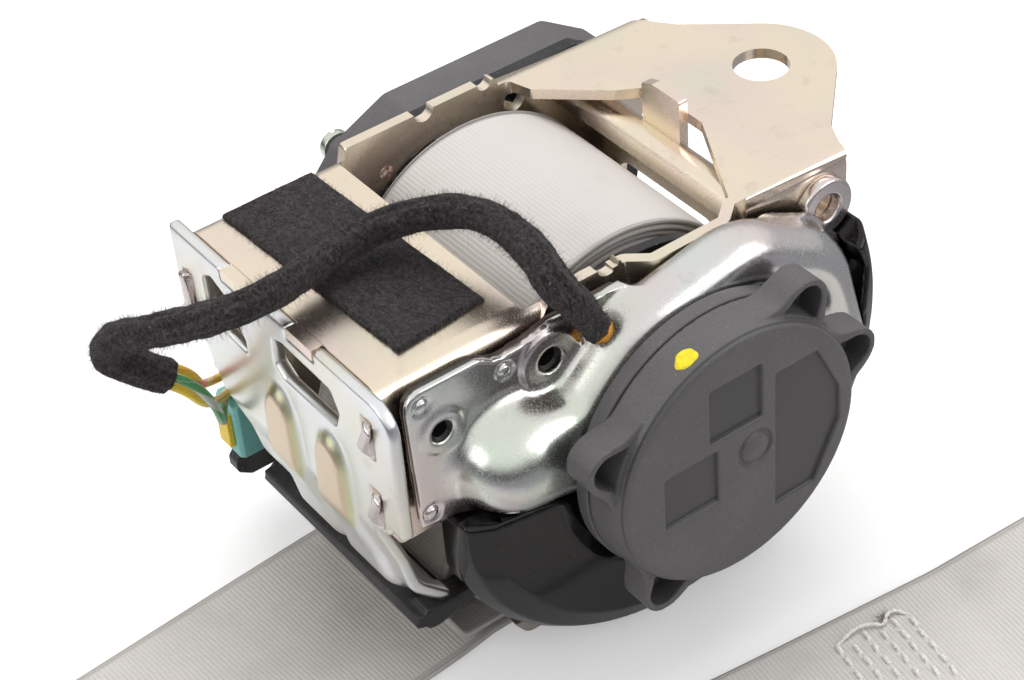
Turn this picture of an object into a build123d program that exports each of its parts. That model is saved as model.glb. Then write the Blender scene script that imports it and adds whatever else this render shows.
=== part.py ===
from build123d import *
import math
import os

# A car seat belt retractor with a ball pretensioner, lying on its own folded webbing.
# It is drawn from the free edge of the frame's end strip: x across the belt, y towards the mounting
# tab, z up from the top of the back plate. Every part is then shifted so that the centre of the
# anchor hole is the origin. Millimetres.

# Frame bracket
BELT_WIDTH = 46.0
SIDE_ROOM = 7.5
HALF_WIDTH = BELT_WIDTH / 2 + SIDE_ROOM
FRAME_STEEL = 2.2
BEND_RADIUS = 4.0
HOLE_TO_EDGE = 109.0
ANCHOR_BORE = 11.0
TAB_RADIUS = 14.3
STRIP_WIDTH = 30.8
WINDOW_END = 77.0
FLANGE_END = 103.0
FLANGE_BOTTOM = -71.8
WALL_RISE = 2.0
FLANGE_HOLE = 24.0
HOOP_OUT = 3.3
HOOP_FROM = 51.0
HOOP_TO = 77.0
HOOP_DEPTH = 9.0
TAB_TWIST = 22.0

# End plate, web guide, guide bar and tie plate
END_STEEL = 2.5
END_NEAR = 36.7
END_FAR = -33.5
TONGUE_NEAR = 27.5
TONGUE_FAR = -22.0
RIB_HEIGHT = 1.8
BAR_STEEL = 2.0
TIE_STEEL = 2.0
TIE_GAP = 0.8
LUG_RISE = 4.6
FELT_PAD = 1.2

# Spool, belt and shaft
AXLE_Y = 55.5
AXLE_Z = -29.0
ROLL_RADIUS = 29.0
BELT_THICKNESS = 1.2
CORE_RADIUS = 10.0
SPOOL_FLANGE_RADIUS = 22.0
SPOOL_FLANGE = 1.5
HUB_RADIUS = 12.0
SHAFT_RADIUS = 6.0
TORSION_RADIUS = 4.5
RUNNING_FIT = 0.08
LOOSE_FIT = 0.5
BODY_GAP = 0.4

# Lock mechanism on the far side
RING_STEEL = 2.2
RING_RADIUS = 27.5
RING_TEETH = 24
RING_TIP = 21.6
RING_ROOT = 24.6
HEAD_RADIUS = 19.0
PAWL_STEEL = 2.0
PAWL_PIVOT = (-12.0, 3.0)
PAWL_PIN = 2.0
DISC_RADIUS = 17.5
DISC_TEETH = 40
DISC_THICKNESS = 3.2
DISC_ROOM = 3.0
MECHANISM_PLATE = 3.0
COVER_DEPTH = 11.0
COVER_WALL = 1.8
COVER_CHAMFER = 2.5
FLOOR = -78.0
BALL_RADIUS = 4.5
BALL_Z = -62.0
DISH_EXTRA = 4.0
SCREW_HEAD = 3.2

# Pretensioner on the near side
SHEET = 1.3
SHEET_GAP = 1.5
TUBE_SEAT = 3.55
TUBE_RADIUS = 6.2
TUBE_WALL = 1.3
BULB_RADIUS = 10.5
DRIVE_BALL = 3.6
SPROCKET_PITCH = 19.4
SPROCKET_POCKETS = 16
SPROCKET_RADIUS = 17.6
SPROCKET_WIDTH = 5.2
SPROCKET_SEAT = 0.35
DRUM_RADIUS = 49.0
DRUM_WALL = 1.3
DRUM_DEPTH = 12.5
DRUM_CROWN = 2.0
DRUM_SHOULDER = 2.5
DRUM_RIM = 3.0
RIVET_RADIUS = 1.9
RIVET_HEAD = 0.9

# Spring cassette
CAP_DEPTH = 8.5
CAP_RADIUS = 26.2
CAP_WALL = 1.6
CAP_DRAFT = 0.7
BASE_RADIUS = 27.6
BASE_SEAT = 1.9
BASE_DEPTH = 3.1
BOSS_REACH = 29.3
BOSS_RADIUS = 4.4
BOSS_BORE = 2.9
BOSS_ANGLES = (55.0, 13.0, 158.0, -124.0)
BOSS_SET_BACK = 2.0
PANEL_DEPTH = 0.6
SPRING_STRIP = 0.4
SPRING_PITCH = 1.75
SPRING_TURNS = 9
ARBOR_RADIUS = 7.0

# Harness
CABLE_DIAMETER = 6.2
WIRE_DIAMETER = 1.7
CONNECTOR_Y = 7.0
CONNECTOR_WIDTH = 7.5
CONNECTOR_DEPTH = 9.0
CONNECTOR_HEIGHT = 13.0

SHIFT = Location((0, -HOLE_TO_EDGE, 0))
FLANGE_INSIDE = HALF_WIDTH - FRAME_STEEL
TIE_Y = AXLE_Y + ROLL_RADIUS + TIE_GAP
BACK_X = HALF_WIDTH + SHEET_GAP
FRONT_X = BACK_X + SHEET + 0.05
TUBE_X = FRONT_X + SHEET + TUBE_SEAT
DRUM_FRONT = HALF_WIDTH + DRUM_DEPTH
BASE_BACK = DRUM_FRONT + BASE_SEAT
CAP_START = BASE_BACK + BASE_DEPTH
CAP_FACE = CAP_START + CAP_DEPTH
BOSS_TOP = CAP_FACE - BOSS_SET_BACK
nodes = {}


def across(outline, x0, x1):
    """A y-z outline as a solid from x0 to x1."""
    return extrude(Plane.YZ.offset(x0) * outline, amount=x1 - x0)


def along(outline, y0, y1):
    """An x-z outline as a solid from y0 to y1."""
    return extrude(Plane.XZ.offset(-y1) * outline, amount=y1 - y0)


def upward(outline, z0, z1):
    """An x-y outline as a solid from z0 to z1."""
    return extrude(Plane.XY.offset(z0) * outline, amount=z1 - z0)


def rounded(points, radius):
    """A closed outline through the points with rounded corners."""
    return make_face(FilletPolyline(*points, radius=radius, close=True))


def strip(points, radius, thickness):
    """The section of a bent strip of one thickness, its middle line through the points."""
    return trace(FilletPolyline(*points, radius=radius), line_width=thickness)


def disc(radius, x0, x1, y=AXLE_Y, z=AXLE_Z):
    """A round disc across the belt, on the spool axis unless told otherwise."""
    return across(Pos(y, z) * Circle(radius), x0, x1)


def polar(radius, angle, y=AXLE_Y, z=AXLE_Z):
    """A point in the y-z plane at an angle from +y towards +z."""
    turn = math.radians(angle)
    return (y + radius * math.cos(turn), z + radius * math.sin(turn))


# Frame bracket: a U channel cut to the flange's side outline, with a window, raised walls and a tab
SIDE_OUTLINE = [
    (0, 1), (0, -34.7), (13, -34.7), (18, -50), (24, -60), (27, FLANGE_BOTTOM), (36, FLANGE_BOTTOM),
    (40, -66), (70, -60), (92, -45), (FLANGE_END, -20), (FLANGE_END, 1),
]
side_outline = rounded(SIDE_OUTLINE, 1.5)

outer_section = Rectangle(2 * HALF_WIDTH, 80, align=(Align.CENTER, Align.MAX))
outer_section = fillet(outer_section.vertices().group_by(Axis.Y)[-1], BEND_RADIUS)
inner_section = Rectangle(2 * FLANGE_INSIDE, 80, align=(Align.CENTER, Align.MAX))
inner_section = fillet(inner_section.vertices().group_by(Axis.Y)[-1], BEND_RADIUS - FRAME_STEEL)
channel = along(outer_section - Pos(0, -FRAME_STEEL) * inner_section, 0, HOLE_TO_EDGE + 2 * TAB_RADIUS)

TAB_OUTLINE = [
    (-HALF_WIDTH, 60), (-HALF_WIDTH, 100.5), (-25.7, 103.2), (-21.6, 106.1), (-TAB_RADIUS, 113),
    (-TAB_RADIUS, HOLE_TO_EDGE + TAB_RADIUS), (TAB_RADIUS, HOLE_TO_EDGE + TAB_RADIUS),
    (TAB_RADIUS, 113), (23.5, 105.5), (28.5, FLANGE_END), (HALF_WIDTH, FLANGE_END), (HALF_WIDTH, 60),
]
tab_outline = make_face(Polyline(*TAB_OUTLINE, close=True))
tab_end = Pos(0, HOLE_TO_EDGE) * Circle(TAB_RADIUS)
tab_outline = (tab_outline - Pos(0, HOLE_TO_EDGE) * Rectangle(60, 40, align=(Align.CENTER, Align.MIN)))
tab_neck = make_face(Polyline((-21.6, 106.1), (-10.6, 118.6), (10.6, 118.6), (23.5, 105.5), close=True))
tab_outline = tab_outline + tab_neck + tab_end
flange_prism = across(side_outline, -2 * HALF_WIDTH, 2 * HALF_WIDTH)
tab_prism = upward(tab_outline, -FRAME_STEEL, 0)
frame_bracket = (channel & flange_prism) + (tab_prism & upward(Rectangle(200, 200, align=(Align.CENTER, Align.MIN)), -5, 5))

WINDOW = [
    (-FLANGE_INSIDE, STRIP_WIDTH), (FLANGE_INSIDE, STRIP_WIDTH), (FLANGE_INSIDE, WINDOW_END),
    (7, 88.5), (-8.5, 88.5), (-12, 83), (-23, 71.5), (-FLANGE_INSIDE, 70),
]
window = upward(rounded(WINDOW, 1.2), -BEND_RADIUS - 1, 3)
frame_bracket = frame_bracket - window

FAR_WALL = [(31, -6), (33, WALL_RISE), (67, WALL_RISE), (70, -6)]
NEAR_WALL = [(31, -6), (36, WALL_RISE - 0.5), (HOOP_FROM, WALL_RISE - 0.5), (HOOP_FROM, -6)]
far_wall = rounded(FAR_WALL, 0.8) - Pos(50.5, WALL_RISE) * Circle(2.2) - Pos(64.5, WALL_RISE) * Circle(1.6)
near_wall = rounded(NEAR_WALL, 0.8) - Pos(48.0, WALL_RISE) * Circle(2.4)
frame_bracket = frame_bracket + across(far_wall, -HALF_WIDTH, -FLANGE_INSIDE)
frame_bracket = frame_bracket + across(near_wall, FLANGE_INSIDE, HALF_WIDTH)

# The hoop: the near flange's edge pressed outward past the belt roll
hoop_room = upward(
    Pos(HALF_WIDTH, HOOP_FROM) * Rectangle(10, HOOP_TO - HOOP_FROM, align=(Align.CENTER, Align.MIN)),
    -HOOP_DEPTH, 4,
)
HOOP_MIDDLE = HALF_WIDTH - FRAME_STEEL / 2
hoop_line = [
    (HOOP_MIDDLE, HOOP_FROM - 2), (HOOP_MIDDLE, HOOP_FROM + 1), (HOOP_MIDDLE + HOOP_OUT, HOOP_FROM + 5),
    (HOOP_MIDDLE + HOOP_OUT, HOOP_TO - 5), (HOOP_MIDDLE, HOOP_TO - 1), (HOOP_MIDDLE, HOOP_TO + 2),
]
hoop = upward(strip(hoop_line, 1.6, FRAME_STEEL), -HOOP_DEPTH, 0.6)
frame_bracket = (frame_bracket - hoop_room) + hoop

anchor_hole = Pos(0, HOLE_TO_EDGE) * Circle(ANCHOR_BORE / 2)
frame_bracket = frame_bracket - upward(anchor_hole, -5, 5)
frame_bracket = frame_bracket - disc(FLANGE_HOLE, -40, 40)
frame_bracket = frame_bracket - disc(1.5, -40, 0, y=41, z=-7.4) - disc(2.4, -40, 0, y=71, z=-5)
EYE_Y = 96.3
EYE_Z = -9.2
EYE_RADIUS = 6.0
EYE_BORE = 2.75
frame_bracket = frame_bracket - disc(EYE_BORE, 0, 40, y=EYE_Y, z=EYE_Z)

# Tabs of the frame that hold the end plate: two flush in its top edge, three twisted in its slots
NOTCHES = ((-15.5, -8.0), (5.8, 13.8))
for x0, x1 in NOTCHES:
    frame_bracket = frame_bracket + Pos((x0 + x1) / 2, -END_STEEL / 2, -FRAME_STEEL / 2) * Box(x1 - x0, END_STEEL, FRAME_STEEL)
FLANGE_TABS = ((-1, -12.5, 7.0), (1, -9.0, 7.5), (1, -25.2, 7.5))
for hand, z, height in FLANGE_TABS:
    tab_x = hand * (HALF_WIDTH - FRAME_STEEL / 2)
    frame_bracket = frame_bracket + Pos(tab_x, -END_STEEL / 2, z) * Box(FRAME_STEEL, END_STEEL, height)
    twisted = Pos(tab_x, -END_STEEL - 1.3, z) * Rot(0, hand * TAB_TWIST, 0) * Box(FRAME_STEEL, 2.6, height)
    frame_bracket = frame_bracket + twisted

# The pressed frame is kept as four plates that meet face to face beside its two bends
BEND_LINE = HALF_WIDTH - BEND_RADIUS
tab_side = upward(Pos(0, AXLE_Y) * Rectangle(2 * BEND_LINE, 100, align=(Align.CENTER, Align.MIN)), -20, 20)
strip_side = upward(Pos(0, AXLE_Y) * Rectangle(2 * BEND_LINE, 100, align=(Align.CENTER, Align.MAX)), -20, 20)
near_side = across(Rectangle(400, 400), BEND_LINE, 2 * HALF_WIDTH)
far_side = across(Rectangle(400, 400), -2 * HALF_WIDTH, -BEND_LINE)
nodes["frame_bracket"] = frame_bracket & tab_side
nodes["end_strip"] = frame_bracket & strip_side
nodes["near_flange"] = frame_bracket & near_side
nodes["far_flange"] = frame_bracket & far_side

# Eyelet pressed through the near flange beside the tab
eyelet_section = rounded([(EYE_BORE, 0), (EYE_BORE, 2.6), (EYE_RADIUS, 2.6), (EYE_RADIUS, 0)], 0.7)
eyelet = revolve(Plane.XY * eyelet_section, Axis.Y)
nodes["lug_collar"] = Pos(HALF_WIDTH, EYE_Y, EYE_Z) * Rot(0, 0, -90) * eyelet

# End plate: bent down into a tongue and curled under, with ribs, windows and slots
END_MIDDLE = -END_STEEL / 2
END_LINE = [(END_MIDDLE, 3), (END_MIDDLE, -32), (2.4, -42.5), (4.2, -50.5), (10.0, -56.4)]
END_RADII = [6.0, 12.0, 8.0]


def end_section(shift, thickness):
    """The end plate's side section, moved outward by shift."""
    line = FilletPolyline(*END_LINE, radius=END_RADII)
    body = trace(line, line_width=thickness)
    return Pos(-shift, 0) * body


END_OUTLINE = [
    (END_FAR, 0), (END_NEAR, 0), (END_NEAR, -28), (32.5, -28), (32, -30), (28, -31), (TONGUE_NEAR, -33),
    (TONGUE_NEAR, -70), (TONGUE_FAR, -70), (TONGUE_FAR, -34), (-27, -24), (END_FAR, -22),
]
end_outline = make_face(Polyline(*END_OUTLINE, close=True))
near_corner = end_outline.vertices().sort_by_distance(Vertex(END_NEAR, 0, 0))[0]
end_outline = fillet(near_corner, 6.0)
end_sheet = across(end_section(0, END_STEEL), -50, 50)
end_plate = end_sheet & along(end_outline, -20, 30)
RIBS = ((-6.8, 8.4), (10.4, 24.6))
rib_top = -12.5
rib_bottom = -47.0
rib_back = across(end_section(RIB_HEIGHT, END_STEEL), -50, 50)
for x0, x1 in RIBS:
    middle = (x0 + x1) / 2
    width = x1 - x0
    rib_line = [(middle - 0.36 * width, rib_top), (middle + 0.36 * width, rib_top), (x1, rib_bottom), (x0, rib_bottom)]
    rib = along(rounded(rib_line, 4.0), -8, 14)
    groove_line = [
        (middle - 0.36 * width + END_STEEL, rib_top - END_STEEL), (middle + 0.36 * width - END_STEEL, rib_top - END_STEEL),
        (x1 - END_STEEL, rib_bottom + END_STEEL), (x0 + END_STEEL, rib_bottom + END_STEEL),
    ]
    groove = along(rounded(groove_line, 2.5), -8, 14)
    end_plate = end_plate + (rib_back & rib)
    end_plate = end_plate - (across(end_section(RIB_HEIGHT - END_STEEL, END_STEEL), -50, 50) & groove)
LEFT_WINDOW = [(-22.8, -6.5), (-22.7, -11.4), (-20.6, -14.6), (-10.9, -15.5), (-10.9, -13.3), (-15.4, -6.7), (-20, -5.0)]
RIGHT_WINDOW = [(0.8, -6.4), (3.4, -5.6), (18.0, -6.2), (19.7, -9.7), (18.4, -13.0), (2.8, -13.0), (0.5, -11.4)]
for outline in (LEFT_WINDOW, RIGHT_WINDOW):
    end_plate = end_plate - along(rounded(outline, 1.2), -8, 1)
for x0, x1 in NOTCHES:
    notch = Pos((x0 + x1) / 2, 0, 0) * Box(x1 - x0 + 0.2, 20, 2 * (FRAME_STEEL + 0.1))
    end_plate = end_plate - notch
for hand, z, height in FLANGE_TABS:
    slot = Pos(hand * (HALF_WIDTH - FRAME_STEEL / 2), END_MIDDLE, z) * Box(FRAME_STEEL + 0.4, END_STEEL + 0.1, height + 0.6)
    end_plate = end_plate - slot
nodes["end_plate"] = end_plate

# Felt pad glued on the end strip
FELT_CORNERS = [(-28.0, 5.8), (24.2, 8.4), (22.5, 27.4), (-28.0, 25.2)]
nodes["felt_pad"] = upward(rounded(FELT_CORNERS, 1.0), 0, FELT_PAD)

# Guide bar under the slot, its ends seated on the flanges' lower corners
BAR_TOP = FLANGE_BOTTOM
BAR_LINE = [
    (17.0, -60.4), (19.6, -64.4), (25.4, BAR_TOP - BAR_STEEL / 2), (37.5, BAR_TOP - BAR_STEEL / 2),
]
bar = across(strip(BAR_LINE, 2.0, BAR_STEEL), -HALF_WIDTH, HALF_WIDTH)
bar = bar - across(Rectangle(30, 40, align=(Align.MAX, Align.MIN)) + Pos(27.2, -70) * Rectangle(
    30, 20, align=(Align.MAX, Align.MIN)), FLANGE_INSIDE - 1, 50)
nodes["guide_bar"] = bar

# Web guide: a plastic frame that lines the slot between the tongue and the bar
GUIDE_FAR = TONGUE_FAR - 2
GUIDE_NEAR = TONGUE_NEAR + 0.5
guide_lip = across(rounded([(5.4, -59.4), (11.2, -59.4), (11.6, -58.0), (5.0, -57.6)], 0.5), GUIDE_FAR, GUIDE_NEAR)
guide_end = rounded([(5.4, -61.0), (15.4, -61.0), (15.6, -57.9), (5.2, -57.9)], 0.6)
web_guide = guide_lip + across(guide_end, BELT_WIDTH / 2 + 0.6, GUIDE_NEAR)
web_guide = web_guide + across(guide_end, GUIDE_FAR, -BELT_WIDTH / 2 - 0.4)
nodes["web_guide"] = web_guide

# Tie plate between the flanges behind the roll, with a rolled edge and a lug through the window
TIE_MIDDLE = TIE_Y + TIE_STEEL / 2
TIE_LINE = [(TIE_MIDDLE, -44), (TIE_MIDDLE, -5.4), (TIE_MIDDLE - 5.2, -5.4), (TIE_MIDDLE - 5.2, -9.2)]
tie = across(strip(TIE_LINE, 2.2, TIE_STEEL), -FLANGE_INSIDE, FLANGE_INSIDE)
tie = tie - along(Pos(0, -22) * SlotOverall(30, 8), 70, 100)
lug = rounded([(-6.6, -8), (-6.6, LUG_RISE - 1), (-3.5, LUG_RISE), (4.4, LUG_RISE), (4.4, -8)], 0.9)
tie = tie + along(lug, TIE_Y, TIE_Y + TIE_STEEL)
nodes["cross_plate"] = tie

# Spool, torsion bar and the belt wound on it
SPOOL_HALF = BELT_WIDTH / 2 + LOOSE_FIT
spool = disc(CORE_RADIUS, -SPOOL_HALF, SPOOL_HALF)
spool_end = SPOOL_HALF + SPOOL_FLANGE
spool = spool + disc(SPOOL_FLANGE_RADIUS, SPOOL_HALF, spool_end)
spool = spool + disc(SPOOL_FLANGE_RADIUS, -spool_end, -SPOOL_HALF)
spool = spool + disc(HUB_RADIUS, spool_end, HALF_WIDTH)
SHAFT_END = BASE_BACK - 1.3
spool = spool + disc(SHAFT_RADIUS, HALF_WIDTH, SHAFT_END)
for angle in range(30, 390, 60):
    spool_y, spool_z = polar(16.2, angle)
    spool = spool - disc(2.6, spool_end - 1.0, spool_end, y=spool_y, z=spool_z)
spool = spool - disc(TORSION_RADIUS, -spool_end, 20)
nodes["spool"] = spool
roll_section = Pos(AXLE_Y, AXLE_Z) * (Circle(ROLL_RADIUS) - Circle(CORE_RADIUS + 0.1))
nodes["webbing_roll"] = across(roll_section, -BELT_WIDTH / 2, BELT_WIDTH / 2)
nodes["torsion_bar"] = disc(TORSION_RADIUS - 0.05, -spool_end, 19.5)

# Bearing plate on the inside of the near flange
bearing_outline = Pos(AXLE_Y, AXLE_Z) * Circle(ROLL_RADIUS - 1.0)
bearing_x = FLANGE_INSIDE - 2.0
bearing = across(bearing_outline, bearing_x, FLANGE_INSIDE) + disc(FLANGE_HOLE - 0.3, FLANGE_INSIDE, HALF_WIDTH)
bearing = bearing - disc(HUB_RADIUS + RUNNING_FIT, 20, 40)
nodes["bearing_plate"] = bearing

# Locking head on the far end of the bar, with the pawl in the plane of the toothed ring
RING_FACE = -HALF_WIDTH - RING_STEEL
head = disc(HEAD_RADIUS, -HALF_WIDTH + 0.2, -spool_end) + disc(8.0, RING_FACE - 0.4, -HALF_WIDTH + 0.2)
PIN_END = RING_FACE - 11.5
head = head + disc(4.0, PIN_END, RING_FACE)
pivot_y = AXLE_Y + PAWL_PIVOT[0]
pivot_z = AXLE_Z + PAWL_PIVOT[1]
head = head + disc(PAWL_PIN, RING_FACE, -HALF_WIDTH + 0.2, y=pivot_y, z=pivot_z)
nodes["tread_head"] = head
PAWL_OUTLINE = [
    (-15.6, 3), (-13.2, 9.5), (-7, 16.2), (1.2, 19.0), (2.6, 17.4), (-3.5, 12.5), (-8.4, 6.4), (-8.9, 1.6), (-12, -0.8),
]
pawl = Pos(AXLE_Y, AXLE_Z) * rounded(PAWL_OUTLINE, 0.7)
pawl_x = -HALF_WIDTH - 0.1
pawl = across(pawl, pawl_x - PAWL_STEEL, pawl_x) - disc(PAWL_PIN + RUNNING_FIT, -40, 0, y=pivot_y, z=pivot_z)
pawl_peg_y = AXLE_Y - 8.0
pawl_peg_z = AXLE_Z + 8.5
pawl = pawl + disc(1.2, -35.6, pawl_x - PAWL_STEEL, y=pawl_peg_y, z=pawl_peg_z)
nodes["locking_pawl"] = pawl

# Toothed ring riveted on the far flange: sawtooth gullets cut outward from the tooth tips
ring = Circle(RING_RADIUS) - Circle(RING_TIP)
tooth_pitch = 360 / RING_TEETH
RING_PHASE = 4.0
for step in range(RING_TEETH):
    start = step * tooth_pitch + RING_PHASE
    gullet = Polyline(
        polar(RING_TIP - 1, start, 0, 0), polar(RING_ROOT, start + 1, 0, 0),
        polar(RING_ROOT, start + 0.45 * tooth_pitch, 0, 0), polar(RING_TIP - 1, start + 0.85 * tooth_pitch, 0, 0),
        close=True,
    )
    ring = ring - make_face(gullet)
nodes["lock_ring"] = across(Pos(AXLE_Y, AXLE_Z) * ring, RING_FACE, -HALF_WIDTH)

# Control disc that draws the pawl out, with fine ratchet teeth on its rim
control = Circle(DISC_RADIUS)
disc_pitch = 360 / DISC_TEETH
for step in range(DISC_TEETH):
    start = step * disc_pitch
    notch = Polyline(
        polar(DISC_RADIUS + 0.5, start, 0, 0), polar(DISC_RADIUS - 1.2, start + 1, 0, 0),
        polar(DISC_RADIUS + 0.5, start + 0.8 * disc_pitch, 0, 0), close=True,
    )
    control = control - make_face(notch)
control = control - Circle(4.0 + RUNNING_FIT)
control = control - Pos(-8.0, 9.5) * Rot(0, 0, 90) * SlotOverall(5.6, 3.4)
disc_face = RING_FACE - 1.0
nodes["control_disc"] = across(Pos(AXLE_Y, AXLE_Z) * control, disc_face - DISC_THICKNESS, disc_face)

# Carrier plate and cover of the lock mechanism
COVER_OUTLINE = [
    (31, -18), (39, -9), (52, -3), (90, -3), (101, -10), (106, -30), (100, -60), (88, FLOOR), (48, FLOOR),
    (33, -68), (28, -45),
]
cover_outline = rounded(COVER_OUTLINE, 3.0)
plate_far = RING_FACE - 0.5 - MECHANISM_PLATE
carrier = across(cover_outline, plate_far, RING_FACE - 0.5)
ARM_TOP = -59.5
ARM = [(32, ARM_TOP), (3.5, ARM_TOP), (2.0, -61.5), (2.0, -64), (5, -66), (34, -66)]
carrier = carrier + across(rounded(ARM, 1.5), plate_far, RING_FACE - 0.5)
carrier = carrier - disc(DISC_RADIUS + DISC_ROOM, -60, 0)
for y, z in ((36, -60), (96, -24), (90, -7.5)):
    carrier = carrier + disc(3.0, RING_FACE - 0.5, -HALF_WIDTH, y=y, z=z)
nodes["mechanism_base"] = carrier

cover_inner = offset(cover_outline, -COVER_WALL)
cover_face = plate_far - COVER_DEPTH
shell = across(cover_outline, cover_face, plate_far)
shell = chamfer(shell.faces().sort_by(Axis.X)[0].edges(), COVER_CHAMFER)
shell = shell - across(offset(cover_outline, -COVER_WALL - 1.2), cover_face + COVER_WALL, plate_far)
shell = shell - across(cover_inner, cover_face + COVER_CHAMFER + 1.0, plate_far)
bush_outer = disc(7.0, cover_face + COVER_WALL / 2, PIN_END + 6.0)
shell = shell + bush_outer
shell = shell - disc(4.0 + RUNNING_FIT, PIN_END - 0.3, 0)
SCREWS = ((42, -12.2), (97, -20), (91, -66), (37, -62))
for y, z in SCREWS:
    shell = shell + disc(SCREW_HEAD, cover_face + COVER_WALL / 2, plate_far, y=y, z=z)
    shell = shell - disc(1.6, cover_face - 1, plate_far, y=y, z=z)
nodes["mechanism_cover"] = shell
screws = []
for y, z in SCREWS:
    head_part = disc(SCREW_HEAD, cover_face - 1.8, cover_face, y=y, z=z)
    head_part = head_part - Pos(cover_face - 1.8, y, z) * Box(1.6, 1.0, 2 * SCREW_HEAD)
    screws.append(head_part + disc(1.5, cover_face, plate_far, y=y, z=z))
nodes["cover_screws"] = Compound(children=screws)

# Vehicle sensor: a ball in a dish under a hinged lever
sensor_x0 = cover_face + COVER_WALL + 0.2
sensor_x1 = plate_far
sensor_x = (sensor_x0 + sensor_x1) / 2
block = rounded([(41, -60.5), (46.4, -60.5), (46.4, -66), (66, -66), (66, -73), (47, -73), (41, -68.5)], 0.6)
sensor_housing = across(block, sensor_x0, sensor_x1)
ball_centre = BALL_Z - DISH_EXTRA + 0.35
lever_low = ball_centre + BALL_RADIUS + BODY_GAP
lever_pin_z = lever_low + 0.8
dish = Pos(sensor_x, AXLE_Y, BALL_Z) * Sphere(BALL_RADIUS + DISH_EXTRA)
sensor_housing = sensor_housing - dish
sensor_housing = sensor_housing + disc(1.0, sensor_x0, sensor_x1, y=44, z=lever_pin_z)
for x0, x1 in ((sensor_x0, sensor_x0 + 1.2), (sensor_x1 - 1.2, sensor_x1)):
    ear = rounded([(42, -64), (42, lever_pin_z + 1.8), (46, lever_pin_z + 1.8), (46, -64)], 0.8)
    sensor_housing = sensor_housing + across(ear, x0, x1)
sensor_housing = sensor_housing - across(Pos(44, lever_pin_z) * Circle(2.8), sensor_x0 + 1.2, sensor_x1 - 1.2)
sensor_housing = sensor_housing + disc(1.0, sensor_x0, sensor_x1, y=44, z=lever_pin_z)
nodes["sensor_housing"] = sensor_housing
nodes["sensor_ball"] = Pos(sensor_x, AXLE_Y, ball_centre) * Sphere(BALL_RADIUS)
TIP_TOP = -48.4
lever_line = rounded([
    (45, lever_low), (61.4, lever_low), (62.6, TIP_TOP), (61.2, TIP_TOP), (59.8, lever_low + 1.6), (45, lever_low + 1.6),
], 0.4)
lever = across(lever_line, sensor_x0 + 1.6, sensor_x1 - 1.6) + disc(2.2, sensor_x0 + 1.6, sensor_x1 - 1.6, y=44, z=lever_pin_z)
lever = lever - disc(1.0 + RUNNING_FIT, -60, 0, y=44, z=lever_pin_z)
nodes["sensor_lever"] = lever

# Pretensioner: two steel sheets riveted together, the outer one pressed out into the ball tube
STEEL_OUTLINE = [
    (3.0, -29.6), (2.2, -2), (4.2, 2.2), (18.5, 2.2), (22.5, -1.6), (33, 0.2), (47.5, 0.2), (49.5, -11.5),
    (79, -11.5), (81.0, -3.5), (90.6, -7.1), (96.8, -14), (99.6, -21), (97.5, -30), (94, -37), (85, -37), (83, -26.5),
    (34, -26.5), (34, -43), (31.2, -42.8), (24.9, -37.6), (18.8, -32.8), (14.6, -31.1),
]
steel_outline = rounded(STEEL_OUTLINE, 1.0)
TUBE_LINE = [(18, -21.5), (34, -19), (48, -7), (70, -2.6), (87.5, -12.5), (92.5, -33)]


def tube(radius):
    """A round tube along the ball path."""
    path = Plane.YZ.offset(TUBE_X) * FilletPolyline(*TUBE_LINE, radius=13.0)
    start = Plane(path @ 0, z_dir=path % 0)
    return sweep(start * Circle(radius), path=path)


def bulge(grow):
    """The pressed-out tube with its swollen end and its branch, grown by a distance."""
    body = tube(TUBE_RADIUS + grow) + Pos(TUBE_X, *TUBE_LINE[0]) * Sphere(TUBE_RADIUS + grow)
    return body + Pos(FRONT_X + 0.4, 21.5, -22) * Sphere(BULB_RADIUS + grow)


BRANCH = [(21.5, -23.5), (31, -27), (40, -30)]


def branch(grow):
    """The wide neck that leads from the swollen end in under the spring cassette."""
    path = Plane.YZ.offset(TUBE_X - 1.5) * FilletPolyline(*BRANCH, radius=20.0)
    return sweep(Plane(path @ 0, z_dir=path % 0) * Circle(7.6 + grow), path=path)


back_cut = across(Rectangle(400, 400), 0, FRONT_X)
ball_room = across(
    Pos(AXLE_Y, AXLE_Z + 1.5) * Rectangle(46, 30, align=(Align.CENTER, Align.MAX)), 20, 60)
wheel_room = disc(SPROCKET_RADIUS + 0.6, FRONT_X + SHEET, 60) + disc(8.0, 20, 60) + ball_room
hoop_clear = across(Pos((HOOP_FROM + HOOP_TO) / 2, -HOOP_DEPTH - 1.0) * Rectangle(
    HOOP_TO - HOOP_FROM + 4, 30, align=(Align.CENTER, Align.MIN)), 20, HALF_WIDTH + HOOP_OUT + 0.4)
housing = across(steel_outline, FRONT_X, FRONT_X + SHEET) + (bulge(0) + branch(0) - back_cut)
housing = housing - bulge(-TUBE_WALL) - wheel_room - hoop_clear
HOLES = ((8.7, -10.4, 2.2), (31.2, -7.1, 2.4))
for y, z, radius in HOLES:
    housing = housing - disc(radius, 20, 60, y=y, z=z)
nodes["pretensioner_housing"] = housing
back_plate = across(steel_outline, BACK_X, BACK_X + SHEET) - wheel_room
back_plate = back_plate - disc(EYE_RADIUS + 0.3, 20, 60, y=EYE_Y, z=EYE_Z)
back_plate = back_plate - disc(2.2, 20, 60, y=8.7, z=-10.4)
nodes["pretensioner_back_plate"] = back_plate
RIVETS = ((5.4, -3.0), (22.0, -5.0), (5.4, -27.0))
rivet_top = FRONT_X + SHEET + RIVET_HEAD
rivets = []
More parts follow.
